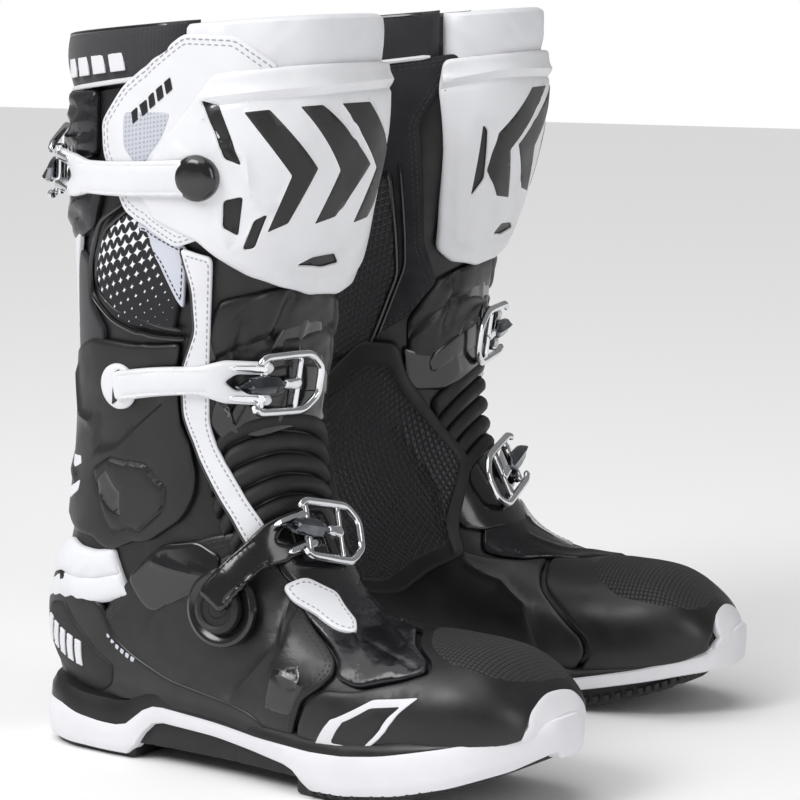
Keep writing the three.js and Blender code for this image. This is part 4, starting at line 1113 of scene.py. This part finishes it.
def guard():
    inner = [(t + (8.2 - t) * 0.16, p + (-76 - p) * 0.16) for t, p in GUARD]
    features = (
        area(inner, -1.3, 1.8, 1, 8),
        groove([(8.6, -58), (7.6, -52), (6.9, -50), (6.3, -60), (5.9, -66)], -1.0, 1.6),
        groove([(10.2, -90), (9.2, -86), (8.3, -92), (7.2, -90)], -1.0, 1.8),
    )
    panel("inner_guard", GUARD, looks("black_rubber", "mesh"), "cuff", base=1.6,
          wall=4.0, edge=1.8, crown=1.2, bend=True, replaces=("medial_guard",), features=features,
          radius=8)
    seam = Form(GUARD)
    thread = Draft()
    for shift in (0.0, 2.4):
        stitches(seam, [(8.6, -62), (7.6, -56), (6.9, -54), (6.3, -64)], 6.6, thread, shift)
    publish("inner_guard_stitches", thread, looks("thread_black"), "cuff", bend=True)


# ---- foot ----
def foot():
    heel = [(9.56, 180), (9.52, 150), (9.34, 127), (8.82, 113), (8.38, 104), (7.84, 107), (6.9, 112),
            (6.1, 110), (5.44, 108), (5.1, 118), (4.9, 142), (5.6, 148), (6.4, 154), (7.2, 158),
            (7.8, 158), (8.04, 166), (8.04, 194), (7.8, 202), (7.2, 202), (6.4, 206), (5.6, 212),
            (4.9, 218), (5.1, 240), (6.1, 252), (6.9, 248), (7.84, 253), (8.38, 256), (8.82, 247),
            (9.34, 233), (9.52, 210)]
    ridge = groove([(8.9, 178), (8.2, 152), (7.3, 134), (6.4, 126), (5.5, 122)], -2.2, 3.2)
    ridge_inner = groove([(8.9, 182), (8.2, 208), (7.3, 226), (6.4, 234), (5.5, 238)], -2.2, 3.2)
    panel("heel_cup", heel, looks("black_shell"), "foot", base=-0.6, wall=4.0, edge=1.8,
          crown=1.0, radius=7, features=(ridge, ridge_inner), replaces=("heel_counter",), spacing=5)
    pad = [(9.06, 136), (8.84, 122), (8.2, 117), (7.64, 118), (7.56, 130), (7.7, 144), (8.2, 152),
           (8.8, 150)]
    pad_surface = panel("heel_pad", pad, looks("black_rubber"), "foot", base=2.4,
                        wall=2.6, edge=1.4, crown=0.8, radius=5)
    mark = blocks(pad_surface, [(8.7, 145), (7.94, 128), (8.2, 120), (8.94, 137)], 5, 5.4, 0.9)
    publish("heel_blocks", mark, looks("white_rubber"), "foot")
    small = blocks(Form([(7.9, 108), (7.4, 112)]), [(7.96, 108), (7.4, 110), (7.4, 114), (7.96, 112)], 6,
                   3.0)
    publish("heel_small_blocks", small, looks("grey_leather"), "foot")
    quarter = [(8.28, 90), (8.04, 80), (7.56, 62), (7.1, 46), (6.5, 40), (5.9, 34), (5.3, 34), (4.8, 38),
               (4.4, 42), (4.1, 50), (4.04, 60), (4.2, 72), (4.5, 84), (4.62, 98), (4.68, 114),
               (4.5, 134), (5.2, 138), (6.4, 136), (7.4, 126), (8.24, 110)]
    panel("quarter", quarter, looks("black_leather"), "foot", base=-0.9, wall=3.0,
          edge=1.4, crown=0.8, seam=3, rows=2, replaces=("foot_shell",), spacing=5,
          features=(groove([(7.5, 96), (7.66, 88), (7.24, 70), (6.96, 56)], 0.9, 1.4),
                    groove([(5.44, 44), (5.2, 62), (5.5, 84), (5.9, 106)], -1.4, 2.0)))
    seams = Form(quarter)
    thread = Draft()
    for shift in (0.0, 3.0):
        stitches(seams, [(5.42, 46), (5.12, 62), (5.4, 84), (5.8, 105)], 2.2, thread, shift)
    publish("quarter_seam_stitches", thread, looks("thread_black"), "foot")
    inner = [(8.3, -100), (7.6, -84), (6.9, -74), (6.2, -66), (5.6, -60), (5.0, -46), (4.5, -34),
             (4.12, -20), (4.12, -36), (4.02, -52), (3.7, -68), (3.48, -80), (3.26, -90), (3.24, -100),
             (3.5, -132), (4.4, -138), (5.6, -140), (6.8, -138), (7.6, -130), (8.2, -116)]
    panel("inner_quarter", inner, looks("black_shell"), "foot", base=-0.9, wall=3.0,
          edge=1.4, crown=0.9, replaces=("foot_shell",), radius=6, spacing=5,
          features=(groove([(5.6, -66), (4.8, -60), (4.2, -70), (3.9, -100)], -1.2, 2.0),))
    glossy = [(5.2, 76), (4.7, 64), (4.5, 76), (4.7, 94), (5.2, 98)]
    panel("quarter_facets", glossy, looks("black_gloss"), "foot", base=1.0, wall=1.8,
          edge=0.8, crown=0.4, radius=1.5, features=(groove([(5.0, 76), (4.4, 74)], -0.9, 1.2),
                                                     groove([(4.6, 60), (4.6, 96)], -0.7, 1.2)))
    vamp = [(5.5, 36), (5.66, 16), (5.8, -8), (5.7, -30), (5.4, -52), (5.0, -44), (4.5, -32),
            (4.12, -16), (3.6, -6), (3.14, 20), (2.76, 34), (2.66, 46), (3.0, 56), (3.6, 66), (4.0, 62),
            (4.04, 50), (4.36, 41), (4.8, 37)]
    panel("vamp", vamp, looks("black_patent"), "foot", base=-0.9, wall=3.2, edge=1.8,
          crown=1.6, replaces=("foot_shell",), wave=puff_wave(0.35, 30, 3), spacing=3.8,
          features=(groove([(5.1, 10), (4.5, 16), (3.7, 40)], -1.4, 2.4),
                    groove([(4.7, -10), (4.0, 0), (3.2, 24)], -1.2, 2.2),
                    groove([(4.3, 22), (3.6, 30), (2.9, 44)], 1.2, 1.8)))
    toe = [(3.56, 68), (2.94, 57), (2.58, 47), (2.68, 35), (3.06, 21), (3.5, -6), (4.04, -18),
           (4.04, -34), (3.94, -50), (3.62, -66), (3.4, -79), (3.18, -89), (3.14, -99), (3.42, -130),
           (2.0, -132), (0.9, -120), (0.62, -80), (0.6, -40), (0.58, 0), (0.58, 40), (0.6, 80),
           (0.8, 116), (2.0, 126), (3.4, 130), (4.4, 130), (4.6, 114), (4.54, 98), (4.4, 84), (4.1, 72)]
    mark = [(4.24, 112), (3.96, 90), (3.3, 73), (2.6, 69), (2.9, 81), (3.2, 95), (3.5, 111)]
    middle = np.mean(mark, axis=0)
    core = [tuple(middle + (np.array(place) - middle) * 0.66) for place in mark]
    panel("toe_shell", toe, looks("black_shell", "white_rubber", "black_shell"), "foot",
          base=-0.7, wall=3.4, edge=1.6, crown=0.8, spacing=5, replaces=("foot_shell",),
          features=(area(mark, 0.7, 0.7, 1, 2), area(core, -0.5, 0.7, 2, 2)))
    grid = [(3.3, -4), (2.9, 20), (2.4, 36), (1.9, 40), (1.3, 32), (0.98, 6), (0.96, -30), (1.2, -52),
            (1.9, -60), (2.7, -54), (3.2, -34)]
    panel("toe_grid", grid, looks("toe_grid"), "foot", base=1.8, wall=1.7, edge=0.7,
          crown=0.5, radius=8)


def toe_bumper():
    """White bumper over the tip of the toe, reaching up to a curved edge."""
    count, rows = 72, 9
    phi = np.linspace(0, 360, count, endpoint=False)
    signed = (phi + 180) % 360 - 180
    edge = np.interp(signed, (-180, -140, -91, -35, 8, 42, 90, 110, 140, 180),
                     (0.9, 1.0, 0.42, 0.7, 0.76, 0.66, 0.66, 0.9, 1.1, 0.9))
    grids = []
    levels = [(f, 3.2) for f in np.linspace(0.05, 0.86, rows)] + [(0.95, 2.8), (0.99, 1.9), (1.0, -0.8)]
    for f, height in levels:
        t = 0.02 + (edge - 0.02) * f
        grids.append(above(t, phi, np.full(count, height)))
    for f in np.linspace(0.9, 0.1, 4):
        grids.append(above(0.02 + (edge - 0.02) * f, phi, np.full(count, -0.8)))
    return Draft().add(np.vstack(grids), tube_faces(len(grids), count, closed=False))


# ---- ankle joint ----
def ankle_joint():
    pivot = Form([(6.5, 72), (6.5, 76)])
    place = (6.48, 73)
    ring = [(13.0, 6), (20.4, 6), (21.2, 7.4), (20.6, 9.2), (18.8, 10.2), (16.4, 9.8), (14.8, 8.6),
            (13.2, 8.6)]
    draft = lathe(pivot, place, [(0.4, 4.5), *ring, (0.4, 8.6)], 48)
    publish("pivot_ring", draft, looks("black_gloss"), "foot")
    cap = [(0.4, 9), (13.4, 9), (14.0, 11), (13.2, 13.4), (11, 14.6), (9.6, 14.2), (8.8, 13),
           (5.4, 12.8), (4.6, 13.6), (0.4, 13.8)]
    publish("pivot_cap", lathe(pivot, place, cap, 48), looks("black_shell"), "foot",
            ("ankle_pivot",))
    arm = [(8.3, 92), (8.22, 82), (7.7, 68), (7.14, 62), (6.9, 67), (7.1, 78), (7.6, 92)]
    panel("link_arm", arm, looks("black_gloss"), "cuff", base=1.4, wall=2.6, edge=1.3,
          crown=1.0, radius=6, replaces=("ankle_link",),
          features=(groove([(8.1, 86), (7.0, 70)], -1.0, 1.6),))


# ---- buckles ----
# route: t, phi and height along each strap; tip: where its lever ends; saddle: outline of the pad under it
BUCKLES = {
    "top": dict(
        route=[(12.74, 74, 9.5), (12.78, 84, 7.6), (12.86, 99, 6.2), (12.92, 114, 5.8),
               (12.97, 128, 6.6), (13.03, 140, 8.6)],
        tip=(13.2, 176, 14), color="white_shell", slot="shell_white", width=19, body="cuff",
        saddle=[(13.3, 136), (13.3, 186), (13.24, 206), (12.86, 206), (12.8, 186), (12.84, 136)]),
    "middle": dict(
        route=[(11.03, 97, 7.4), (10.78, 84, 6.4), (10.45, 68, 5.6), (10.05, 48, 6.2), (9.66, 26, 8.4)],
        tip=(9.45, -18, 13), color="white_shell", slot="shell_white", width=16, body="cuff",
        saddle=[(9.86, 34), (9.8, 8), (9.66, -18), (9.5, -40), (9.06, -38), (9.1, -8), (9.16, 16),
                (9.24, 34)]),
    "ankle": dict(
        route=[(6.6, 72, 14.8), (6.57, 60, 13.2), (6.52, 46, 10.8), (6.42, 30, 9.2), (6.3, 14, 8.6)],
        tip=(6.0, -25, 12.5), color="black_gloss", slot="shell_black", width=18, body="foot",
        saddle=[(6.66, 34), (6.74, 8), (6.7, -14), (6.6, -50), (6.0, -54), (5.5, -40), (5.06, -12),
                (5.06, 14), (5.3, 28), (5.9, 38)]),
}
FORK = {"width": 23.0, "slot": 9.6, "start": 26.0}
LOOP = {"start": -8.0, "length": 43.0, "width": 31.0, "bar": 2.3}


def ribbon_outline(length, width):
    half, fork = width / 2, FORK["width"] / 2
    begin = length - FORK["start"]
    slot = FORK["slot"] / 2
    return [(-1, -half * 0.8), (2, -half), (begin - 8, -half * 0.92), (begin + 6, -fork),
            (length + 4, -fork), (length + 6, -fork + 3), (length + 3, -slot), (begin + 12, -slot),
            (begin + 6, 0), (begin + 12, slot), (length + 3, slot), (length + 6, fork - 3),
            (length + 4, fork), (begin + 6, fork), (begin - 8, half * 0.92), (2, half), (-1, half * 0.8)]


def buckle(name, spec):
    ribbon = Ribbon(spec["route"])
    length = ribbon.length
    outline = ribbon_outline(length, spec["width"])
    side = spec["width"] / 2 - 2.6
    edges = [groove([(5, y * side), (length - FORK["start"] - 4, y * side)], 0.45, 0.7) for y in (-1, 1)]
    strap = relief(ribbon, outline, 0, 3.2, 1.2, 2.4, 0.9, 6, edges, spacing=3.2)
    publish(f"{name}_strap_band", strap, looks(spec["color"]), f"{name}_strap",
            (f"{name}_strap",))
    inlays = Draft()
    begin = length - FORK["start"] + 11
    for y in (-1, 1):
        middle = y * (FORK["slot"] / 2 + FORK["width"] / 2) / 2
        shape = [(begin, middle - 1.7), (length + 1, middle - 2.2), (length + 3, middle),
                 (length + 1, middle + 2.2), (begin, middle + 1.7), (begin - 3, middle)]
        inlays.join(relief(ribbon, shape, 3.0, 1.3, 0.6, 1.5, spacing=3))
    publish(f"{name}_strap_inlays", inlays, looks("chrome"), f"{name}_strap")
    end = ribbon.place(np.array([[length, 0.0]]), [2.0])[0]
    tip = above(*[np.array(v, float) for v in spec["tip"]])
    forward = unit(tip - end)
    normal = outward(*[np.array(v, float) for v in spec["route"][-1][:2]])
    lever(name, Plane(end, forward, np.cross(normal, forward), bend=1.0))
    panel(f"{name}_saddle", spec["saddle"], looks("black_gloss"), spec["body"], base=0.8,
          wall=3.0, edge=1.6, crown=0.8, replaces=(f"{name}_receiver",), radius=6)


def lever(name, plane):
    """Loop of bent bar with a bridge, a spear-shaped thumb plate and the hinge barrel."""
    half, far = LOOP["width"] / 2, LOOP["length"]
    frame_line = [(LOOP["start"], -half + 4), (LOOP["start"] + 5, -half + 0.6), (20, -half),
                  (far - 10, -half), (far, -half * 0.5), (far, half * 0.5), (far - 10, half), (20, half),
                  (LOOP["start"] + 5, half - 0.6), (LOOP["start"], half - 4)]
    flat = resampled(rounded(frame_line, 4, False), 1.6, False)
    centre = plane.place(flat, np.interp(flat[:, 0], (-8, 4, 20), (3.6, 3.0, 2.4)))
    loop = tube(centre, LOOP["bar"], 10, np.broadcast_to(plane.normal, centre.shape), 0.85)
    cross = resampled(np.array([(25.0, -half * 0.96), (25.0, half * 0.96)]), 2, False)
    line = plane.place(cross, np.full(len(cross), 2.2))
    tube(line, 1.7, 10, np.broadcast_to(plane.normal, line.shape), draft=loop)
    barrel = plane.place(np.array([(0.0, -13.5), (0.0, -4), (0.0, 4), (0.0, 13.5)]), np.zeros(4))
    tube(barrel, 2.4, 14, np.broadcast_to(plane.normal, barrel.shape), draft=loop, taper=False)
    publish(f"{name}_lever_loop", loop, looks("chrome"), f"{name}_lever", (f"{name}_lever",))
    spear = [(-23, 0), (-13, -4.2), (-2, -5.2), (7, -4.8), (14, 0), (7, 4.8), (-2, 5.2), (-13, 4.2)]
    body = relief(plane, spear, 2.2, 2.8, 1.0, 1.5, 0.8, 3, (groove([(-20, 0), (12, 0)], -1.4, 1.3),),
                  spacing=2.2)
    publish(f"{name}_lever_spear", body, looks("dark_chrome"), f"{name}_lever")
    spine = relief(plane, [(14, -2.4), (25, -3.2), (27, 0), (25, 3.2), (14, 2.4)], 1.8, 2.6, 1.0, 1.2,
                   0.4, 3, spacing=2.2)
    publish(f"{name}_lever_spine", spine, looks("chrome"), f"{name}_lever")


# ---- sole ----
# x, and how far the sole reaches to the outside and to the inside there
PLAN = np.array([
    [-113, 15, 15], [-106, 28, 27], [-98, 37, 35], [-82, 44, 42], [-50, 46, 43], [-10, 45, 41],
    [30, 46, 42], [70, 51, 46], [110, 55, 51], [150, 53, 53], [180, 43, 50], [200, 29, 41],
                 [212, 15, 32],
    [219, 3, 18],
], float)
# how the sole rises towards the toe
SPRING = {"lift": 31, "start": 104, "power": 1.8}


def spring(x):
    share = np.clip((x - SPRING["start"]) / (PLAN[-1, 0] - SPRING["start"]), 0, None)
    return SPRING["lift"] * share ** SPRING["power"]


def sole_ring(inset=0.0, step=4.0):
    outer = np.stack([PLAN[:, 0], -PLAN[:, 1]], 1)
    inner = np.stack([PLAN[::-1, 0], PLAN[::-1, 2]], 1)
    ring = resampled(rounded(np.vstack([outer, inner]), 14), step)
    return ring + inward(ring) * inset


class Sole:
    """The underside: x and y as they are, heights downwards from the floor line, rising at the toe."""

    def __init__(self, top=0.0):
        self.top = top

    def flat(self, places):
        return np.array(places, float).reshape(-1, 2)

    def place(self, uv, height):
        z = self.top + spring(uv[:, 0]) - np.asarray(height, float)
        return np.stack([uv[:, 0], uv[:, 1], z], 1)


def rand_top(ring):
    """Height of the rand's upper edge round the sole."""
    x, lateral = ring[:, 0], ring[:, 1] < 0
    outer = np.interp(x, (-113, -85, -72, -54, -38, -22, -15, 27, 59, 94, 118, 140, 178, 204, 219),
                      (27, 24, 20, 18, 18, 30, 32, 29, 26, 25, 26, 29, 37, 44, 50))
    inner = np.interp(x, (-113, -85, -50, -20, 27, 94, 130, 168, 204, 219),
                      (27, 24, 22, 28, 27, 23, 20, 28, 38, 50))
    return np.where(lateral, outer, inner)


def band(ring, section, flats=None):
    """A closed band round the sole: section rows are a distance outwards and heights round the ring."""
    into = inward(ring)
    points = []
    for out, heights in section:
        place = ring - into * out
        points.append(np.stack([place[:, 0], place[:, 1], heights], 1))
    return Draft().add(np.vstack(points), tube_faces(len(section), len(ring)), flats)


def rand_band():
    """White band round the sole, between its upper and lower edges."""
    ring = sole_ring(0.2, 5.0)
    x, lateral = ring[:, 0], ring[:, 1] < 0
    low_out = np.interp(x, (-113, -78, -54, -33, -26, -15, 26, 54, 82, 94, 118, 151, 178, 204, 218),
                        (4, 2.5, 2, 2, 13, 23, 21, 18, 14, 3.5, 4, 8.5, 15, 24, 32))
    low_in = np.interp(x, (-113, -50, -30, -15, 82, 94, 134, 190, 216), (7, 6, 8, 18, 15, 8, 13, 24, 28))
    top, low = rand_top(ring), np.where(lateral, low_out, low_in)
    section = ((-9, 0.0), (-1.4, 0.02), (-0.2, 0.1), (0.3, 0.34), (0.5, 0.6), (0.4, 0.86),
               (-0.8, 0.98), (-2.6, 1.0), (-9, 0.98))
    flats = [np.stack([lengths(ring), np.full(len(ring), level * 20)], 1) for _, level in section]
    return band(ring, [(out, low + (top - low) * level) for out, level in section], np.vstack(flats))


def welt():
    """Lower edge of the shells, where they come down to the rand."""
    ring = sole_ring(1.0, 5.0)
    top = rand_top(ring) - 1
    rise = np.interp(ring[:, 0], (-113, -50, 60, 150, 200), (10, 14, 8, 6, 0))
    section = ((0.4, -4, 0), (-0.3, 1, 0), (-0.8, 0, 0.6), (-3.2, 0, 1), (-9, 2, 1), (-10, -4, 0))
    return band(ring, [(out, top + rise * share + lift) for out, lift, share in section])


def outsole():
    ring = sole_ring(4.4, 4.0)
    heel = ring[ring[:, 0] < -30]
    front_part = ring[(ring[:, 0] > 84) & (ring[:, 0] < 206)]
    middle = ring[(ring[:, 0] > -40) & (ring[:, 0] < 96)]
    heel_grooves = [groove([(x, -34), (x + 6, 0), (x, 34)], 3.0, 1.4) for x in (-94, -78, -62, -46)]
    front_grooves = [groove([(x, -44), (x + 7, 0), (x, 44)], 2.6, 1.4) for x in range(98, 200, 13)]
    arch_grooves = [groove([(x, -44), (x, 44)], 0.8, 1.2) for x in range(-20, 90, 12)]
    draft = Draft()
    for part, features in ((heel, heel_grooves), (front_part, front_grooves)):
        draft.join(relief(Sole(18.6), part, 1.6, 17, 1.6, 2, features=features, raw=True, spacing=6))
    arch = relief(Sole(0.0), middle, -24, 15.5, 1.2, 2, raw=True, spacing=7, features=arch_grooves)
    return draft.join(arch)


def edge_studs():
    """Small studs along the sole's edge under the toe."""
    draft = Draft()
    ring = sole_ring(3.5, 9.0)
    for x, y in ring[(ring[:, 0] > 96) & (ring[:, 0] < 200)]:
        stud = circle(np.array([x, y]), 2.3, 10)
        draft.join(relief(Sole(9.0), stud, 3.4, 3.6, 0.9, 0.5, raw=True, spacing=3))
    return draft


def sole():
    publish("rand_band", rand_band(), looks("white_rubber"), "foot", ("rand",))
    publish("shell_welt", welt(), looks("black_shell"), "foot")
    publish("outsole_tread", outsole(), looks("black_rubber"), "foot", ("outsole",))
    publish("outsole_studs", edge_studs(), looks("black_rubber"), "foot")
    publish("toe_bumper", toe_bumper(), looks("white_rubber"), "foot", ("rand",))


def build():
    publish("base_skin", base_skin(), looks("black_leather"), "foot", bend=True,
            replaces=("foot_shell", "tongue", "calf_shell", "medial_panel", "lateral_panel"))
    publish("lining_bag", lining_bag(), looks("lining"), "foot", ("bootie",), bend=True)
    shaft_top()
    side_panels()
    shin()
    front()
    strip()
    calf()
    ribs()
    guard()
    foot()
    ankle_joint()
    for name, spec in BUCKLES.items():
        buckle(name, spec)
    sole()
    for side in SIDES:
        for node, look in (("insole", "lining"), ("shank", "steel")):
            materials = bpy.data.objects[f"{side}_{node}"].data.materials
            materials.clear()
            materials.append(LOOKS[look])


# ---- floor, light and camera ----
CAMERA = {"azimuth": 28.729, "target": (4.65, -4.52, 186.77), "distance": 1770.34, "height": 433.54,
          "lens": 141.6, "sensor": 36}


def floor():
    mesh = bpy.data.meshes.new("floor")
    size, drop = 6.0, -0.0006  # metres
    corners = [(x * size, y * size, drop) for x, y in ((-1, -1), (1, -1), (1, 1), (-1, 1))]
    mesh.from_pydata(corners, [], [(0, 1, 2, 3)])
    look = Look("floor", (0.95, 0.95, 0.955), 0.7, specular=0.2)
    look.bump(look.noise(0.02, 3), 0.05, 0.2)
    mesh.materials.append(look.material)
    piece = bpy.data.objects.new("floor", mesh)
    bpy.context.scene.collection.objects.link(piece)


LAMP_AIM = Vector((0, 0, 0.18))


def lamp(name, place, size, power):
    light = bpy.data.lights.new(name, "AREA")
    light.shape = "RECTANGLE"
    light.size, light.size_y = size
    light.energy = power
    item = bpy.data.objects.new(name, light)
    item.location = place
    item.rotation_euler = (LAMP_AIM - Vector(place)).to_track_quat("-Z", "Y").to_euler()
    bpy.context.scene.collection.objects.link(item)


def studio():
    world = bpy.data.worlds.new("studio")
    world.use_nodes = True
    nodes, links = world.node_tree.nodes, world.node_tree.links
    background = nodes["Background"]
    background.inputs["Color"].default_value = (1, 1, 1, 1)
    # The backdrop looks white, but lights the boots less, so that black stays black.
    seen = nodes.new("ShaderNodeLightPath")
    strength = nodes.new("ShaderNodeMapRange")
    strength.inputs["To Min"].default_value = 0.24
    strength.inputs["To Max"].default_value = 1.0
    links.new(seen.outputs["Is Camera Ray"], strength.inputs["Value"])
    links.new(strength.outputs["Result"], background.inputs["Strength"])
    bpy.context.scene.world = world
    bpy.context.scene.view_settings.view_transform = "Standard"
    lamp("key", (-0.7, -1.7, 1.7), (1.1, 1.1), 24)
    lamp("front", (2.2, -0.9, 1.0), (0.8, 1.6), 12)
    sun = bpy.data.lights.new("sky", "SUN")
    sun.energy = 1.75
    sun.angle = math.radians(70)
    item = bpy.data.objects.new("sky", sun)
    item.rotation_euler = (math.radians(18), math.radians(-14), 0)
    bpy.context.scene.collection.objects.link(item)


def camera():
    azimuth = math.radians(CAMERA["azimuth"])
    target = Vector(CAMERA["target"]) * MM
    rise = CAMERA["height"] * MM - target.z
    reach = math.sqrt((CAMERA["distance"] * MM) ** 2 - rise ** 2)
    place = target + Vector((math.sin(azimuth) * reach, -math.cos(azimuth) * reach, rise))
    data = bpy.data.cameras.new("view")
    data.lens = CAMERA["lens"]
    data.sensor_width = CAMERA["sensor"]
    item = bpy.data.objects.new("view", data)
    item.location = place
    item.rotation_euler = (target - place).to_track_quat("-Z", "Y").to_euler()
    bpy.context.scene.collection.objects.link(item)
    bpy.context.scene.camera = item


build()
floor()
studio()
camera()
